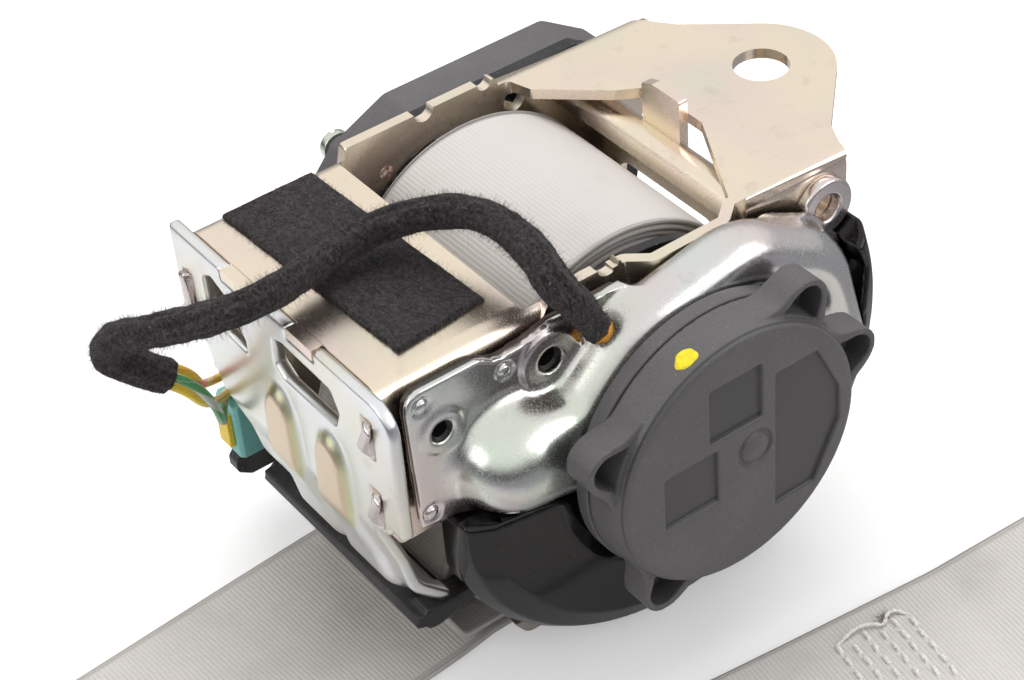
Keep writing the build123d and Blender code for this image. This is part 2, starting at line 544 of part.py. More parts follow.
for y, z in RIVETS:
    rivet_head = disc(RIVET_RADIUS, FRONT_X + SHEET, rivet_top, y=y, z=z) - bulge(0) - branch(0)
    rivets.append(disc(RIVET_RADIUS, HALF_WIDTH, FRONT_X + SHEET, y=y, z=z) + rivet_head)
    hole = disc(RIVET_RADIUS, 20, FRONT_X + SHEET, y=y, z=z)
    nodes["pretensioner_housing"] = nodes["pretensioner_housing"] - hole
    nodes["pretensioner_back_plate"] = nodes["pretensioner_back_plate"] - hole
nodes["housing_rivets"] = Compound(children=rivets)

# Gas generator, piston and balls in the tube, and the wheel the balls drive
tube_bore = TUBE_RADIUS - TUBE_WALL - 0.2
generator_plane = Plane((TUBE_X, 17.0, -21.65), z_dir=(0, 16, 2.5))
generator = Solid.extrude(Face(Wire.make_circle(tube_bore, generator_plane)), generator_plane.z_dir * 13)
nodes["gas_generator"] = generator
BALL_STEP = 360 / SPROCKET_POCKETS
sprocket = Circle(SPROCKET_RADIUS) - Circle(SHAFT_RADIUS + RUNNING_FIT)
for step in range(SPROCKET_POCKETS):
    sprocket = sprocket - Pos(*polar(SPROCKET_PITCH, step * BALL_STEP + BALL_STEP / 2, 0, 0)) * Circle(DRIVE_BALL + 0.1)
SPROCKET_X0 = FRONT_X + SHEET + SPROCKET_SEAT
WHEEL_X = SPROCKET_X0 + SPROCKET_WIDTH / 2
nodes["drive_sprocket"] = across(Pos(AXLE_Y, AXLE_Z) * sprocket, SPROCKET_X0, SPROCKET_X0 + SPROCKET_WIDTH)
balls = []
for step in range(4):
    ball_y, ball_z = polar(SPROCKET_PITCH, -BALL_STEP * (step + 3.5))
    balls.append(Pos(WHEEL_X, ball_y, ball_z) * Sphere(DRIVE_BALL))
nodes["drive_balls"] = Compound(children=balls)
tube_balls = [Pos(TUBE_X, 53.0 + 7.45 * step, -6.0 + 1.49 * step) * Sphere(DRIVE_BALL) for step in range(2)]
nodes["tube_balls"] = Compound(children=tube_balls)

# Ball catcher: a round plastic drum, open where the steel housing passes
DRUM_BACK = HALF_WIDTH + 0.3
CROWN_X = DRUM_FRONT - DRUM_CROWN
SHOULDER_X = CROWN_X - DRUM_SHOULDER
RIM_X = SHOULDER_X - DRUM_RIM
CROWN_RADIUS = DRUM_RADIUS - 6.5
SHOULDER_RADIUS = DRUM_RADIUS - 2.0
DRUM_FLAT = 30.0
DRUM_BORE = 14.0
drum_section = [
    (DRUM_BORE, DRUM_FRONT), (DRUM_FLAT, DRUM_FRONT), (CROWN_RADIUS, CROWN_X), (SHOULDER_RADIUS, SHOULDER_X),
    (DRUM_RADIUS, RIM_X), (DRUM_RADIUS, DRUM_BACK), (DRUM_BORE, DRUM_BACK),
]
drum_hollow = [
    (DRUM_BORE - 6, DRUM_FRONT - DRUM_WALL), (DRUM_FLAT, DRUM_FRONT - DRUM_WALL),
    (CROWN_RADIUS - 0.5, CROWN_X - DRUM_WALL), (SHOULDER_RADIUS - 1.1, SHOULDER_X - 1.0),
    (DRUM_RADIUS - DRUM_WALL, RIM_X - 0.4), (DRUM_RADIUS - DRUM_WALL, DRUM_BACK + 1.2), (DRUM_BORE - 6, DRUM_BACK + 1.2),
]


def turned(points, radius):
    """A round body about the spool axis from a (radius, x) section."""
    section = rounded([(r, x) for r, x in points], radius)
    return Pos(0, AXLE_Y, AXLE_Z) * Rot(0, 0, -90) * revolve(section, Axis.Y)


drum = turned(drum_section, 1.2) - turned(drum_hollow, 1.0)
drum = drum + (disc(20, DRUM_FRONT - 0.5, BASE_BACK) - disc(DRUM_BORE, 20, 60))
steel_zone = across(offset(steel_outline, BODY_GAP), BACK_X - 0.2, 60)
drum = drum - steel_zone
top_zone = across(Pos(0, -11.9) * Rectangle(300, 100, align=(Align.CENTER, Align.MIN)), 20, 60)
drum = drum - top_zone - bulge(BODY_GAP) - branch(BODY_GAP) - disc(EYE_RADIUS + BODY_GAP, 20, 60, y=EYE_Y, z=EYE_Z)
ABOVE_AXLE = across(Pos(AXLE_Y, AXLE_Z + 2.8) * Rectangle(58, 40, align=(Align.CENTER, Align.MIN)), BACK_X - 0.2, BASE_BACK - 0.05)
drum = drum - ABOVE_AXLE
lower_left = across(Pos(8.5, -29) * Rectangle(60, 100, align=(Align.MAX, Align.CENTER)), 20, 60)
drum = drum - lower_left
nodes["ball_catcher"] = drum

# Spring cassette: back shell, cap with hollow bosses, spiral spring and its arbor
base_back = disc(BASE_RADIUS, BASE_BACK, CAP_START) - disc(BASE_RADIUS - CAP_WALL - 0.8, BASE_BACK + CAP_WALL, CAP_START)
base_back = base_back - disc(SHAFT_RADIUS + 1.0, 20, 60)
nodes["spring_base"] = base_back
cap_body = loft([
    Plane.YZ.offset(CAP_START) * (Pos(AXLE_Y, AXLE_Z) * Circle(CAP_RADIUS + CAP_DRAFT)),
    Plane.YZ.offset(CAP_FACE) * (Pos(AXLE_Y, AXLE_Z) * Circle(CAP_RADIUS)),
])
cap_body = fillet(cap_body.edges().filter_by(GeomType.CIRCLE).sort_by(Axis.X)[-1], 1.2)
for angle in BOSS_ANGLES:
    boss_y, boss_z = polar(BOSS_REACH, angle)
    neck = Pos(AXLE_Y, AXLE_Z) * Rot(0, 0, angle) * Pos(22, 0) * Rectangle(BOSS_REACH - 22, 2 * BOSS_RADIUS + 1.6, align=(Align.MIN, Align.CENTER))
    boss = across(neck + Pos(boss_y, boss_z) * Circle(BOSS_RADIUS), CAP_START, BOSS_TOP)
    cap_body = cap_body + boss
cap_hollow = disc(CAP_RADIUS - CAP_WALL, CAP_START - 1, CAP_FACE - CAP_WALL)
cap_body = cap_body - cap_hollow
for angle in BOSS_ANGLES:
    boss_y, boss_z = polar(BOSS_REACH, angle)
    cap_body = cap_body - (disc(BOSS_BORE, 20, 60, y=boss_y, z=boss_z) - disc(CAP_RADIUS + CAP_DRAFT, 10, 70))
SQUARES = ((38.2, 50.0, -36.5, -24.8), (48.5, 60.2, -22.5, -10.7))
for y0, y1, z0, z1 in SQUARES:
    square = Pos((y0 + y1) / 2, (z0 + z1) / 2) * RectangleRounded(y1 - y0, z1 - z0, 0.4)
    cap_body = cap_body - across(square, CAP_FACE - PANEL_DEPTH, CAP_FACE + 1)
LABEL_PANEL = [(63.3, -14.7), (72.7, -14.7), (78.0, -25.7), (78.3, -33.6), (72.2, -45.5), (63.3, -45.6)]
cap_body = cap_body - across(rounded(LABEL_PANEL, 0.5), CAP_FACE - PANEL_DEPTH, CAP_FACE + 1)
cap_body = cap_body - (disc(3.6, CAP_FACE - 0.5, CAP_FACE + 1, y=AXLE_Y + 3, z=AXLE_Z))
cap_body = cap_body + disc(3.1, CAP_FACE - 0.6, CAP_FACE + 0.5, y=AXLE_Y + 3, z=AXLE_Z)
nodes["spring_cap"] = cap_body
SPRING_X0 = BASE_BACK + CAP_WALL + 0.4
SPRING_X1 = CAP_FACE - CAP_WALL - 0.4
arbor = disc(ARBOR_RADIUS, SPRING_X0, SPRING_X1) + disc(SHAFT_RADIUS - 0.2, SHAFT_END, SPRING_X0)
nodes["spring_arbor"] = arbor
spring_start = ARBOR_RADIUS + BODY_GAP + SPRING_STRIP / 2
spiral = Curve()
for turn in range(SPRING_TURNS):
    upper = spring_start + turn * SPRING_PITCH
    spiral = spiral + CenterArc((0, 0), upper, 0, 180)
    spiral = spiral + CenterArc((SPRING_PITCH / 2, 0), upper + SPRING_PITCH / 2, 180, 180)
spring_outline = Pos(AXLE_Y, AXLE_Z) * trace(spiral, line_width=SPRING_STRIP)
nodes["rewind_spring"] = across(spring_outline, SPRING_X0, SPRING_X1)

# Belt: the run through the slot, the fold under the bar, and the free length on the ground
half_belt = BELT_WIDTH / 2
belt_low = FLOOR + BELT_THICKNESS / 2
run_low = BAR_TOP - BAR_STEEL - 0.35 - BELT_THICKNESS / 2
RUN_LINE = [(27.4, -18.3), (12.9, -57.4), (11.9, -67), (15.6, run_low), (25.0, run_low)]
webbing_run = across(strip(RUN_LINE, [4, 3, 2.5], BELT_THICKNESS), -half_belt, half_belt)
nodes["webbing_run"] = webbing_run
FOLD_Y = 28.0
fold_line = [(25.0, run_low), (FOLD_Y, run_low), (FOLD_Y, belt_low), (22.0, belt_low)]
fold_radius = (run_low - belt_low) / 2 - 0.01
nodes["webbing_fold"] = across(strip(fold_line, fold_radius, BELT_THICKNESS), -half_belt, half_belt)
DRIFT = math.tan(math.radians(4.2))
TURN_Y = -85.0
STRIP_ANGLE = 6.8
STRIP_LEAN = math.tan(math.radians(STRIP_ANGLE))
STRIP_X = 83.0
STRIP_AT = 44.4


def floor_x(y):
    """Middle of the belt that lies under the retractor, at y."""
    return (22.0 - y) * DRIFT + 0.4


def strip_x(y):
    """Middle of the free strip beside the retractor, at y."""
    return STRIP_X + (y - STRIP_AT) * STRIP_LEAN


floor_outline = [
    (floor_x(22.0) - half_belt, 22.0), (floor_x(22.0) + half_belt, 22.0),
    (floor_x(TURN_Y) + half_belt, TURN_Y + half_belt), (floor_x(TURN_Y) - half_belt, TURN_Y - half_belt),
]
nodes["webbing_floor"] = upward(make_face(Polyline(*floor_outline, close=True)), FLOOR, FLOOR + BELT_THICKNESS)
cross_outline = [
    (floor_x(TURN_Y) + half_belt, TURN_Y + half_belt), (floor_x(TURN_Y) - half_belt, TURN_Y - half_belt),
    (strip_x(TURN_Y) + half_belt, TURN_Y - half_belt), (strip_x(TURN_Y) - half_belt, TURN_Y + half_belt),
]
nodes["webbing_cross"] = upward(
    make_face(Polyline(*cross_outline, close=True)), FLOOR + BELT_THICKNESS, FLOOR + 2 * BELT_THICKNESS)
END_Y = 95.0
lean = Pos(strip_x(END_Y), END_Y, 0) * Rot(0, 0, -STRIP_ANGLE) * Pos(0, -END_Y, 0)
strip_near = (lean * Pos(half_belt, END_Y, 0)).position
strip_far = (lean * Pos(-half_belt, END_Y, 0)).position
strip_outline = [
    (strip_x(TURN_Y) + half_belt, TURN_Y - half_belt), (strip_near.X, strip_near.Y),
    (strip_far.X, strip_far.Y), (strip_x(TURN_Y) - half_belt, TURN_Y + half_belt),
]
nodes["webbing_strip"] = upward(make_face(Polyline(*strip_outline, close=True)), FLOOR, FLOOR + BELT_THICKNESS)
belt_second = belt_low + BELT_THICKNESS
LOOP_LINE = [(END_Y, belt_low), (150, belt_low), (150, -66), (120, -66), (91, belt_second), (62, belt_second)]
loop = across(strip(LOOP_LINE, [5, 5, 16, 16], BELT_THICKNESS), -half_belt, half_belt)
nodes["webbing_end"] = lean * loop

# Felt cable over the retractor, its plug, and three wires to the connector
CABLE_POINTS = [
    (37.0, 41.4, 0.9), (37.9, 36.8, 5.4), (35.6, 33.4, 8.6), (29.6, 33.9, 10.8), (20.0, 34.6, 11.4), (11.8, 32.4, 11.0),
    (5.2, 27.2, 9.2), (0.6, 18.6, 7.0), (1.0, 8.2, 5.6), (3.0, -2.2, 5.6), (0.6, -12.2, 4.4), (-7.6, -19.6, 0.6),
    (-16.6, -24.6, -4.4), (-20.6, -24.4, -10.4), (-19.0, -20.0, -14.6), (-17.2, -15.0, -18.6),
]


def cord(points, diameter, name):
    """A round cord of straight runs and tangent arcs; prints its radii and length."""
    corners = [Vector(*point) for point in points]
    radii = []
    for before, corner, after in zip(corners, corners[1:], corners[2:]):
        run = min((corner - before).length, (after - corner).length)
        half_turn = math.radians((corner - before).get_angle(after - corner)) / 2
        radii.append(0.45 * run / math.tan(half_turn))
    path = FilletPolyline(*points, radius=radii)
    print(name, "length", round(path.length, 1), "radii", [round(radius, 1) for radius in radii])
    section = Plane(path @ 0, z_dir=path % 0) * Circle(diameter / 2)
    return sweep(section, path=path)


nodes["harness_cable"] = cord(CABLE_POINTS, CABLE_DIAMETER, "harness_cable")
plug_dir = Vector(*CABLE_POINTS[1]) - Vector(*CABLE_POINTS[0])
plug_plane = Plane(Vector(*CABLE_POINTS[0]), z_dir=-plug_dir)
plug = Solid.extrude(Face(Wire.make_circle(3.6, plug_plane)), plug_plane.z_dir * 4.0)
nodes["squib_plug"] = plug - tube(TUBE_RADIUS + 0.1) - across(Rectangle(400, 400), 0, FRONT_X + SHEET)
WIRE_ROUTES = {
    "wire_yellow": [
        (-17.55, -15.96, -20.2), (-16.5, -13.0, -22.6), (-18.4, -9.2, -29.4), (-23.6, -4.8, -35.2), (-29.6, 0.9, -40.6),
        (-34.2, 6.0, -42.6), (-34.9, 7.0, -46.45),
    ],
    "wire_orange": [
        (-18.52, -13.79, -17.93), (-17.4, -10.8, -20.3), (-20.4, -8.0, -26.8), (-26.0, -4.6, -32.2), (-31.6, 0.2, -37.6),
        (-34.9, 8.6, -40.6), (-34.9, 9.6, -46.45),
    ],
    "wire_green": [
        (-15.42, -14.91, -17.93), (-14.3, -11.9, -20.3), (-14.6, -8.6, -27.2), (-19.4, -5.4, -37.4), (-27.4, -1.6, -42.4),
        (-34.4, 3.4, -42.8), (-34.9, 4.4, -46.45),
    ],
}
for name, route in WIRE_ROUTES.items():
    nodes[name] = cord(route, WIRE_DIAMETER, name)

# Connector on the carrier's arm, its lock on the face towards the end plate
CONNECTOR_X = plate_far + MECHANISM_PLATE / 2 - 0.2
connector = Pos(CONNECTOR_X, CONNECTOR_Y, ARM_TOP + CONNECTOR_HEIGHT / 2) * Box(
    CONNECTOR_WIDTH, CONNECTOR_DEPTH, CONNECTOR_HEIGHT)
connector = chamfer(connector.edges().filter_by(Axis.Z), 0.8)
nodes["connector_body"] = connector
nodes["connector_lock"] = Pos(CONNECTOR_X, CONNECTOR_Y - CONNECTOR_DEPTH / 2 - 0.6, ARM_TOP + 6.5) * Box(4.0, 1.2, 8.0)

os.makedirs("parts", exist_ok=True)
for name, shape in nodes.items():
    export_step(SHIFT * shape, f"parts/{name}.step")
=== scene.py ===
import math

import bmesh
import bpy
import numpy as np
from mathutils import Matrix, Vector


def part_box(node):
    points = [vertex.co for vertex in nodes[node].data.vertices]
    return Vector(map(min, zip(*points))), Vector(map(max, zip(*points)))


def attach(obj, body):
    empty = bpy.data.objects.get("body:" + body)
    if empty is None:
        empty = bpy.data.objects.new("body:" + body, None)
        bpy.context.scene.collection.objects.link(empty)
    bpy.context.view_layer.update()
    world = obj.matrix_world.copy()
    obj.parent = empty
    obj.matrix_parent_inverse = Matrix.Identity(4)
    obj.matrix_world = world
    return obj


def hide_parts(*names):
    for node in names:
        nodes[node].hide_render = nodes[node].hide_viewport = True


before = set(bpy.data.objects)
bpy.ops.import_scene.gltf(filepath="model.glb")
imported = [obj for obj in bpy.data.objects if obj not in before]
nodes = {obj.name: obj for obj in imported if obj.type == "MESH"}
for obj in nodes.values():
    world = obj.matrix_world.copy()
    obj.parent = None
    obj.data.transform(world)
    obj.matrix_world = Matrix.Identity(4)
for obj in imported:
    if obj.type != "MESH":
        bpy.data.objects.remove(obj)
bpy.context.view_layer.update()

# Camera, lights and ground
# The retractor lies on its own folded belt on a white table, seen from above and from the spring side,
# under large soft lamps. Sizes are in millimetres times MM, and y starts at the frame's free edge.
MM = 0.001
EDGE_TO_HOLE = 109.0
GROUND_Z = -78.0
CAMERA_PLACE = (0.30147, -0.26008, 0.26806)
CAMERA_TURN = (49.957, 3.923, 53.393)
CAMERA_LENS = 87.96
SENSOR_WIDTH = 36.0
GROUND_HALF = 4.0
GROUND_GAP = 0.12
GROUND_COLOUR = (0.80, 0.80, 0.80, 1)
# Painted shade: the dark grey the table takes in reflections away from the lit spot
GROUND_MIRRORED_SHADE = (0.24, 0.235, 0.25, 1)
GROUND_LIFT = 0.30
LIT_SPOT = (-0.04, -0.14, -0.078)
LIT_REACH = (0.07, 0.24)
SKY_LEVEL = (0.50, 0.50, 0.50, 1)
SKY_TOP = (0.95, 0.94, 0.92, 1)
SKY_BAND = (0.10, 0.58)
HORIZON_PALE = (0.50, 0.49, 0.50, 1)
HORIZON_DARK = (0.07, 0.065, 0.075, 1)
PALE_SIDE = (-0.53, 0.85, 0.0)
PALE_BAND = (0.1, 0.7)
WHITE = (1, 1, 1, 1)
rng = np.random.default_rng(7)
scene = bpy.context.scene
scene.view_settings.view_transform = "Standard"


def placed(points):
    """Points in millimetres, y from the strip's free edge, as metres from the centre of the anchor hole."""
    return (np.asarray(points, float) - (0.0, EDGE_TO_HOLE, 0.0)) * MM


def put(tree, kind, settings=None, sockets=None):
    """Adds a shader node with its own settings, and gives each socket a value or a link."""
    node = tree.nodes.new("ShaderNode" + kind)
    for name, value in (settings or {}).items():
        setattr(node, name, value)
    for name, value in (sockets or {}).items():
        if isinstance(value, bpy.types.NodeSocket):
            tree.links.new(value, node.inputs[name])
        else:
            node.inputs[name].default_value = value
    return node


def maths(tree, operation, first, second=0.5):
    """One operation on two values."""
    return put(tree, "Math", {"operation": operation}, {0: first, 1: second}).outputs[0]


def mixed(tree, share, first, second):
    """The colour between first and second, by share."""
    return put(tree, "Mix", {"data_type": "RGBA"}, {0: share, 6: first, 7: second}).outputs[2]


def spread(tree, value, low, high, start=0.0, end=1.0):
    """The value eased from start to end as it goes from low to high."""
    return put(tree, "MapRange", {"interpolation_type": "SMOOTHSTEP"}, {
        0: value, 1: low, 2: high, 3: start, 4: end}).outputs[0]


def seen_directly(tree):
    """One for the rays that come straight from the camera or through glass, and the light path's outputs."""
    rays = put(tree, "LightPath").outputs
    return maths(tree, "MAXIMUM", rays["Is Camera Ray"], rays["Is Transmission Ray"]), rays


def lamp(name, place, aim, width, height, power):
    """A rectangular soft lamp at place that faces the point aim."""
    light = bpy.data.lights.new(name, "AREA")
    light.shape = "RECTANGLE"
    light.size = width
    light.size_y = height
    light.energy = power
    holder = bpy.data.objects.new(name, light)
    scene.collection.objects.link(holder)
    holder.location = place
    across = np.subtract(aim, place)
    yaw = math.atan2(across[1], across[0]) - math.pi / 2
    pitch = math.atan2(-math.hypot(across[0], across[1]), -across[2])
    holder.rotation_euler = (-pitch, 0, yaw)
    return holder


camera_data = bpy.data.cameras.new("camera")
camera_data.lens = CAMERA_LENS
camera_data.sensor_width = SENSOR_WIDTH
camera_data.clip_start = 0.01
camera = bpy.data.objects.new("camera", camera_data)
camera.location = CAMERA_PLACE
camera.rotation_euler = [math.radians(angle) for angle in CAMERA_TURN]
scene.collection.objects.link(camera)
scene.camera = camera

lamp("lamp_top", (-0.35, 0.25, 1.10), (0.0, -0.03, -0.03), 1.5, 1.3, 15.0).visible_glossy = False
lamp("lamp_right", (1.05, 0.75, 0.75), (0.0, -0.05, -0.03), 1.0, 0.9, 5.5)
lamp("lamp_left", (-0.30, -1.30, 0.60), (0.0, -0.05, -0.03), 1.0, 0.7, 4.5)

world = bpy.data.worlds.new("studio")
scene.world = world
world.use_nodes = True
sky = world.node_tree
sky.nodes.clear()
seen, rays = seen_directly(sky)
way = put(sky, "TexCoord").outputs["Generated"]
height = put(sky, "SeparateXYZ", None, {0: way}).outputs["Z"]
aside = put(sky, "VectorMath", {"operation": "DOT_PRODUCT"}, {0: way, 1: PALE_SIDE}).outputs["Value"]
horizon = mixed(sky, spread(sky, aside, *PALE_BAND), HORIZON_DARK, HORIZON_PALE)
mirror_sky = mixed(sky, spread(sky, height, *SKY_BAND), horizon, SKY_TOP)
lit_sky = mixed(sky, rays["Is Glossy Ray"], SKY_LEVEL, mirror_sky)
backdrop = put(sky, "Background", None, {"Color": mixed(sky, seen, lit_sky, WHITE), "Strength": 1.0})
put(sky, "OutputWorld", None, {"Surface": backdrop.outputs[0]})

ground_mesh = bpy.data.meshes.new("ground")
ground_corners = np.array([(-1, -1, 0), (1, -1, 0), (1, 1, 0), (-1, 1, 0)]) * GROUND_HALF
ground_corners += (0, 0, (GROUND_Z - GROUND_GAP) * MM)
ground_mesh.from_pydata(ground_corners.tolist(), [], [(0, 1, 2, 3)])
ground = bpy.data.objects.new("ground", ground_mesh)
scene.collection.objects.link(ground)
ground_finish = bpy.data.materials.new("white_table")
ground_finish.use_nodes = True
tree = ground_finish.node_tree
tree.nodes.clear()
seen, rays = seen_directly(tree)
lift = maths(tree, "MULTIPLY", seen, GROUND_LIFT)
where = put(tree, "TexCoord").outputs["Object"]
# Painted shade: in glossy rays the table fades from its own colour to dark grey away from a lit spot by the
# retractor, so metals mirror a pool of light in a dark room
from_spot = put(tree, "VectorMath", {"operation": "DISTANCE"}, {0: where, 1: LIT_SPOT}).outputs["Value"]
mirrored_shade = maths(tree, "MULTIPLY", spread(tree, from_spot, *LIT_REACH), rays["Is Glossy Ray"])
paper = put(tree, "BsdfDiffuse", None, {"Color": mixed(tree, mirrored_shade, GROUND_COLOUR, GROUND_MIRRORED_SHADE)})
glow = put(tree, "Emission", None, {"Color": WHITE, "Strength": lift})
both = put(tree, "AddShader", None, {0: paper.outputs[0], 1: glow.outputs[0]})
put(tree, "OutputMaterial", None, {"Surface": both.outputs[0]})
ground_mesh.materials.append(ground_finish)

# Harness cable: the leads' wrap of black needled felt tape
# It leaves the igniter plug on the ball tube, lies over the felt pad, hangs past the end plate and ends
# in a cut of the tape. The tape has a lapped ridge along one side, and loose fibres stand out of it.
CABLE_THICKNESS = 6.2
CABLE_ROUTE = [
    (37.0, 39.6, -2.9), (38.2, 36.2, 3.4), (35.8, 33.2, 8.2), (29.6, 33.9, 10.8), (20.0, 34.6, 11.4),
    (11.8, 32.4, 11.0), (5.2, 27.2, 9.2), (0.6, 18.6, 7.0), (1.0, 8.2, 5.6), (3.0, -2.2, 5.6),
    (0.6, -12.2, 4.4), (-7.6, -19.6, 0.6), (-16.6, -24.6, -4.4), (-20.6, -24.4, -10.4),
    (-19.0, -20.0, -14.6), (-17.2, -15.0, -18.6),
]
CABLE_RINGS = 620
CABLE_SIDES = 72
SWELLING = 0.075
LUMP_HEIGHT = 0.16
MATTING_HEIGHT = 0.075
RIDGE_HEIGHT = 0.55
RIDGE_WIDTH = 0.42
TAPE_SUNK = 0.12
END_TAPER = 0.45
TAPER_RINGS = 16.0
PLUG_COVER = 0.8
COVER_RINGS = 10
FIBRE_COUNT = 14000
FIBRE_WIDTH = 0.028
FIBRE_REACH = 1.25
FELT_DARK = (0.006, 0.0055, 0.006, 1)
FELT_LIGHT = (0.075, 0.067, 0.069, 1)
FELT_SPECK = (0.30, 0.24, 0.17, 1)


def line_along(name, route, count):
    """Count points at even distances on a smooth open spline with the route as its control points."""
    curve = bpy.data.curves.new(name, "CURVE")
    curve.dimensions = "3D"
    spline = curve.splines.new("NURBS")
    spline.points.add(len(route) - 1)
    for point, place in zip(spline.points, placed(route)):
        point.co = (*place, 1.0)
    spline.order_u = 3
    spline.use_endpoint_u = True
    spline.resolution_u = 16
    holder = bpy.data.objects.new(name, curve)
    scene.collection.objects.link(holder)
    bpy.context.view_layer.update()
    drawn = bpy.data.meshes.new_from_object(holder)
    line = np.zeros(len(drawn.vertices) * 3)
    drawn.vertices.foreach_get("co", line)
    line = line.reshape(-1, 3)
    bpy.data.objects.remove(holder)
    bpy.data.meshes.remove(drawn)
    walked = np.concatenate([[0.0], np.cumsum(np.linalg.norm(np.diff(line, axis=0), axis=1))])
    even = np.linspace(0.0, walked[-1], count)
    return np.stack([np.interp(even, walked, line[:, axis]) for axis in range(3)], axis=1)


def rings_of(line, sides):
    """At each point of a line: its tangent, and unit vectors to places all round it, which turn as little as
    possible from one point to the next."""
    tangent = np.gradient(line, axis=0)
    tangent /= np.linalg.norm(tangent, axis=1)[:, None]
    side = np.zeros_like(line)
    start = np.cross(tangent[0], (0.0, 0.0, 1.0))
    side[0] = start / np.linalg.norm(start)
    for step in range(1, len(line)):
        carried = side[step - 1] - tangent[step] * (side[step - 1] @ tangent[step])
        side[step] = carried / np.linalg.norm(carried)
    up = np.cross(tangent, side)
    turn = np.linspace(0, 2 * math.pi, sides, endpoint=False)
    return tangent, turn, np.cos(turn)[:, None] * side[:, None, :] + np.sin(turn)[:, None] * up[:, None, :]


def wavy(count, waves, seed):
    """A smooth random line of count values: a sum of sines with falling heights."""
    draw = np.random.default_rng(seed)
    place = np.linspace(0, 2 * math.pi, count)
    total = np.zeros(count)
    for wave in range(1, waves + 1):
        total += draw.normal() / wave ** 0.6 * np.sin(wave * place + draw.uniform(0, 2 * math.pi))
    return total / max(1e-9, np.abs(total).max())


def grid_faces(rows, columns, closed=False):
    """Quads of a grid of rows by columns; closed joins the last column to the first."""
    steps = columns if closed else columns - 1
    row, column = np.meshgrid(np.arange(rows - 1), np.arange(steps), indexing="ij")
    after = (column + 1) % columns
    quads = np.stack([row * columns + column, row * columns + after,
                      (row + 1) * columns + after, (row + 1) * columns + column], axis=-1)
    return quads.reshape(-1, 4)


def tube_faces(rings, sides):
    """Quads of a tube of closed rings, facing out, and one face on each of its ends."""
    ends = [list(range(sides)), list(range((rings - 1) * sides, rings * sides))[::-1]]
    return grid_faces(rings, sides, closed=True)[:, ::-1].tolist() + ends


def piece_of(name, points, faces, material, replaced=(), body="retractor_body", smooth=True,
             flat_map=None):
    """A mesh piece from points in metres that rides on a body, with its material, the CAD nodes that it is
    shown in place of, and an optional UV for each point."""
    mesh = bpy.data.meshes.new(name)
    mesh.from_pydata(np.reshape(points, (-1, 3)).tolist(), [], np.asarray(faces, dtype=object).tolist())
    mesh.polygons.foreach_set("use_smooth", [smooth] * len(mesh.polygons))
    if flat_map is not None:
        corner = np.zeros(len(mesh.loops), np.int32)
        mesh.loops.foreach_get("vertex_index", corner)
        layer = mesh.uv_layers.new(name="flat")
        layer.data.foreach_set("uv", np.reshape(flat_map, (-1, 2))[corner].astype(np.float32).ravel())
    mesh.materials.append(material)
    mesh.update()
    piece = bpy.data.objects.new(name, mesh)
    scene.collection.objects.link(piece)
    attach(piece, body)
    if replaced:
        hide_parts(*replaced)
    return piece


def finish(name, **sockets):
    """A new material, its node tree and its surface shader, with the shader's plain values set."""
    material = bpy.data.materials.new(name)
    material.use_nodes = True
    skin = material.node_tree.nodes["Principled BSDF"]
    for socket, value in sockets.items():
        skin.inputs[socket.replace("_", " ")].default_value = value
    return material, material.node_tree, skin


def noise(tree, where, scale, detail=3.0, roughness=0.55):
    """Cloudy values at scale waves a metre."""
    return put(tree, "TexNoise", None, {
        "Vector": where, "Scale": scale, "Detail": detail, "Roughness": roughness}).outputs[0]


def feed(node, **outputs):
    """Links outputs to a node's own sockets."""
    for socket, output in outputs.items():
        node.id_data.links.new(output, node.inputs[socket.replace("_", " ")])


def relief(skin, height, depth):
    """Puts a height pattern, depth metres deep, on the surface."""
    bump = put(skin.id_data, "Bump", None, {"Height": height, "Distance": depth, "Strength": 1.0})
    feed(skin, Normal=bump.outputs[0])


felt, tree, skin = finish("black_felt", Roughness=0.95, Specular_IOR_Level=0.15, Sheen_Weight=0.22,
                          Sheen_Roughness=0.5, Sheen_Tint=(0.75, 0.70, 0.70, 1))
where = put(tree, "TexCoord").outputs["Object"]
mat = noise(tree, where, 1400.0, 6.0, 0.7)
clumps = noise(tree, where, 260.0, 4.0, 0.6)
slanted = {"Vector": where, "Scale": (1.0, 3.2, 1.0), "Rotation": (0.3, 0.2, 0.7)}
strands = noise(tree, put(tree, "Mapping", None, slanted).outputs[0], 900.0, 5.0, 0.75)
tone = maths(tree, "ADD", maths(tree, "MULTIPLY", mat, 0.6), maths(tree, "MULTIPLY", strands, 0.5))
colour = mixed(tree, spread(tree, tone, 0.44, 0.70), FELT_DARK, FELT_LIGHT)
dust = spread(tree, noise(tree, where, 2300.0, 2.0, 0.5), 0.71, 0.76)
feed(skin, Base_Color=mixed(tree, dust, colour, FELT_SPECK))
relief(skin, maths(tree, "ADD", maths(tree, "ADD", mat, strands), clumps), 0.0005)

line = line_along("cable_line", CABLE_ROUTE, CABLE_RINGS)
tangent, turn, ring = rings_of(line, CABLE_SIDES)
swelling = 1.0 + SWELLING * wavy(CABLE_RINGS, 26, 3)
ridge_at = 1.9 + 0.5 * wavy(CABLE_RINGS, 5, 4)
ridge = RIDGE_HEIGHT * (0.75 + 0.35 * wavy(CABLE_RINGS, 18, 5))
off_ridge = np.angle(np.exp(1j * (turn[None, :] - ridge_at[:, None])))
lumps = sum(np.outer(wavy(CABLE_RINGS, 40, 10 + k), np.cos(k * turn + k)) for k in range(2, 9))
matting = sum(np.outer(wavy(CABLE_RINGS, 260, 70 + k), np.sin((5 + 3 * k) * turn + k)) for k in range(6))
radius = CABLE_THICKNESS / 2 * swelling[:, None] - TAPE_SUNK + lumps * LUMP_HEIGHT + matting * MATTING_HEIGHT
radius += ridge[:, None] * np.exp(-(off_ridge / RIDGE_WIDTH) ** 2)
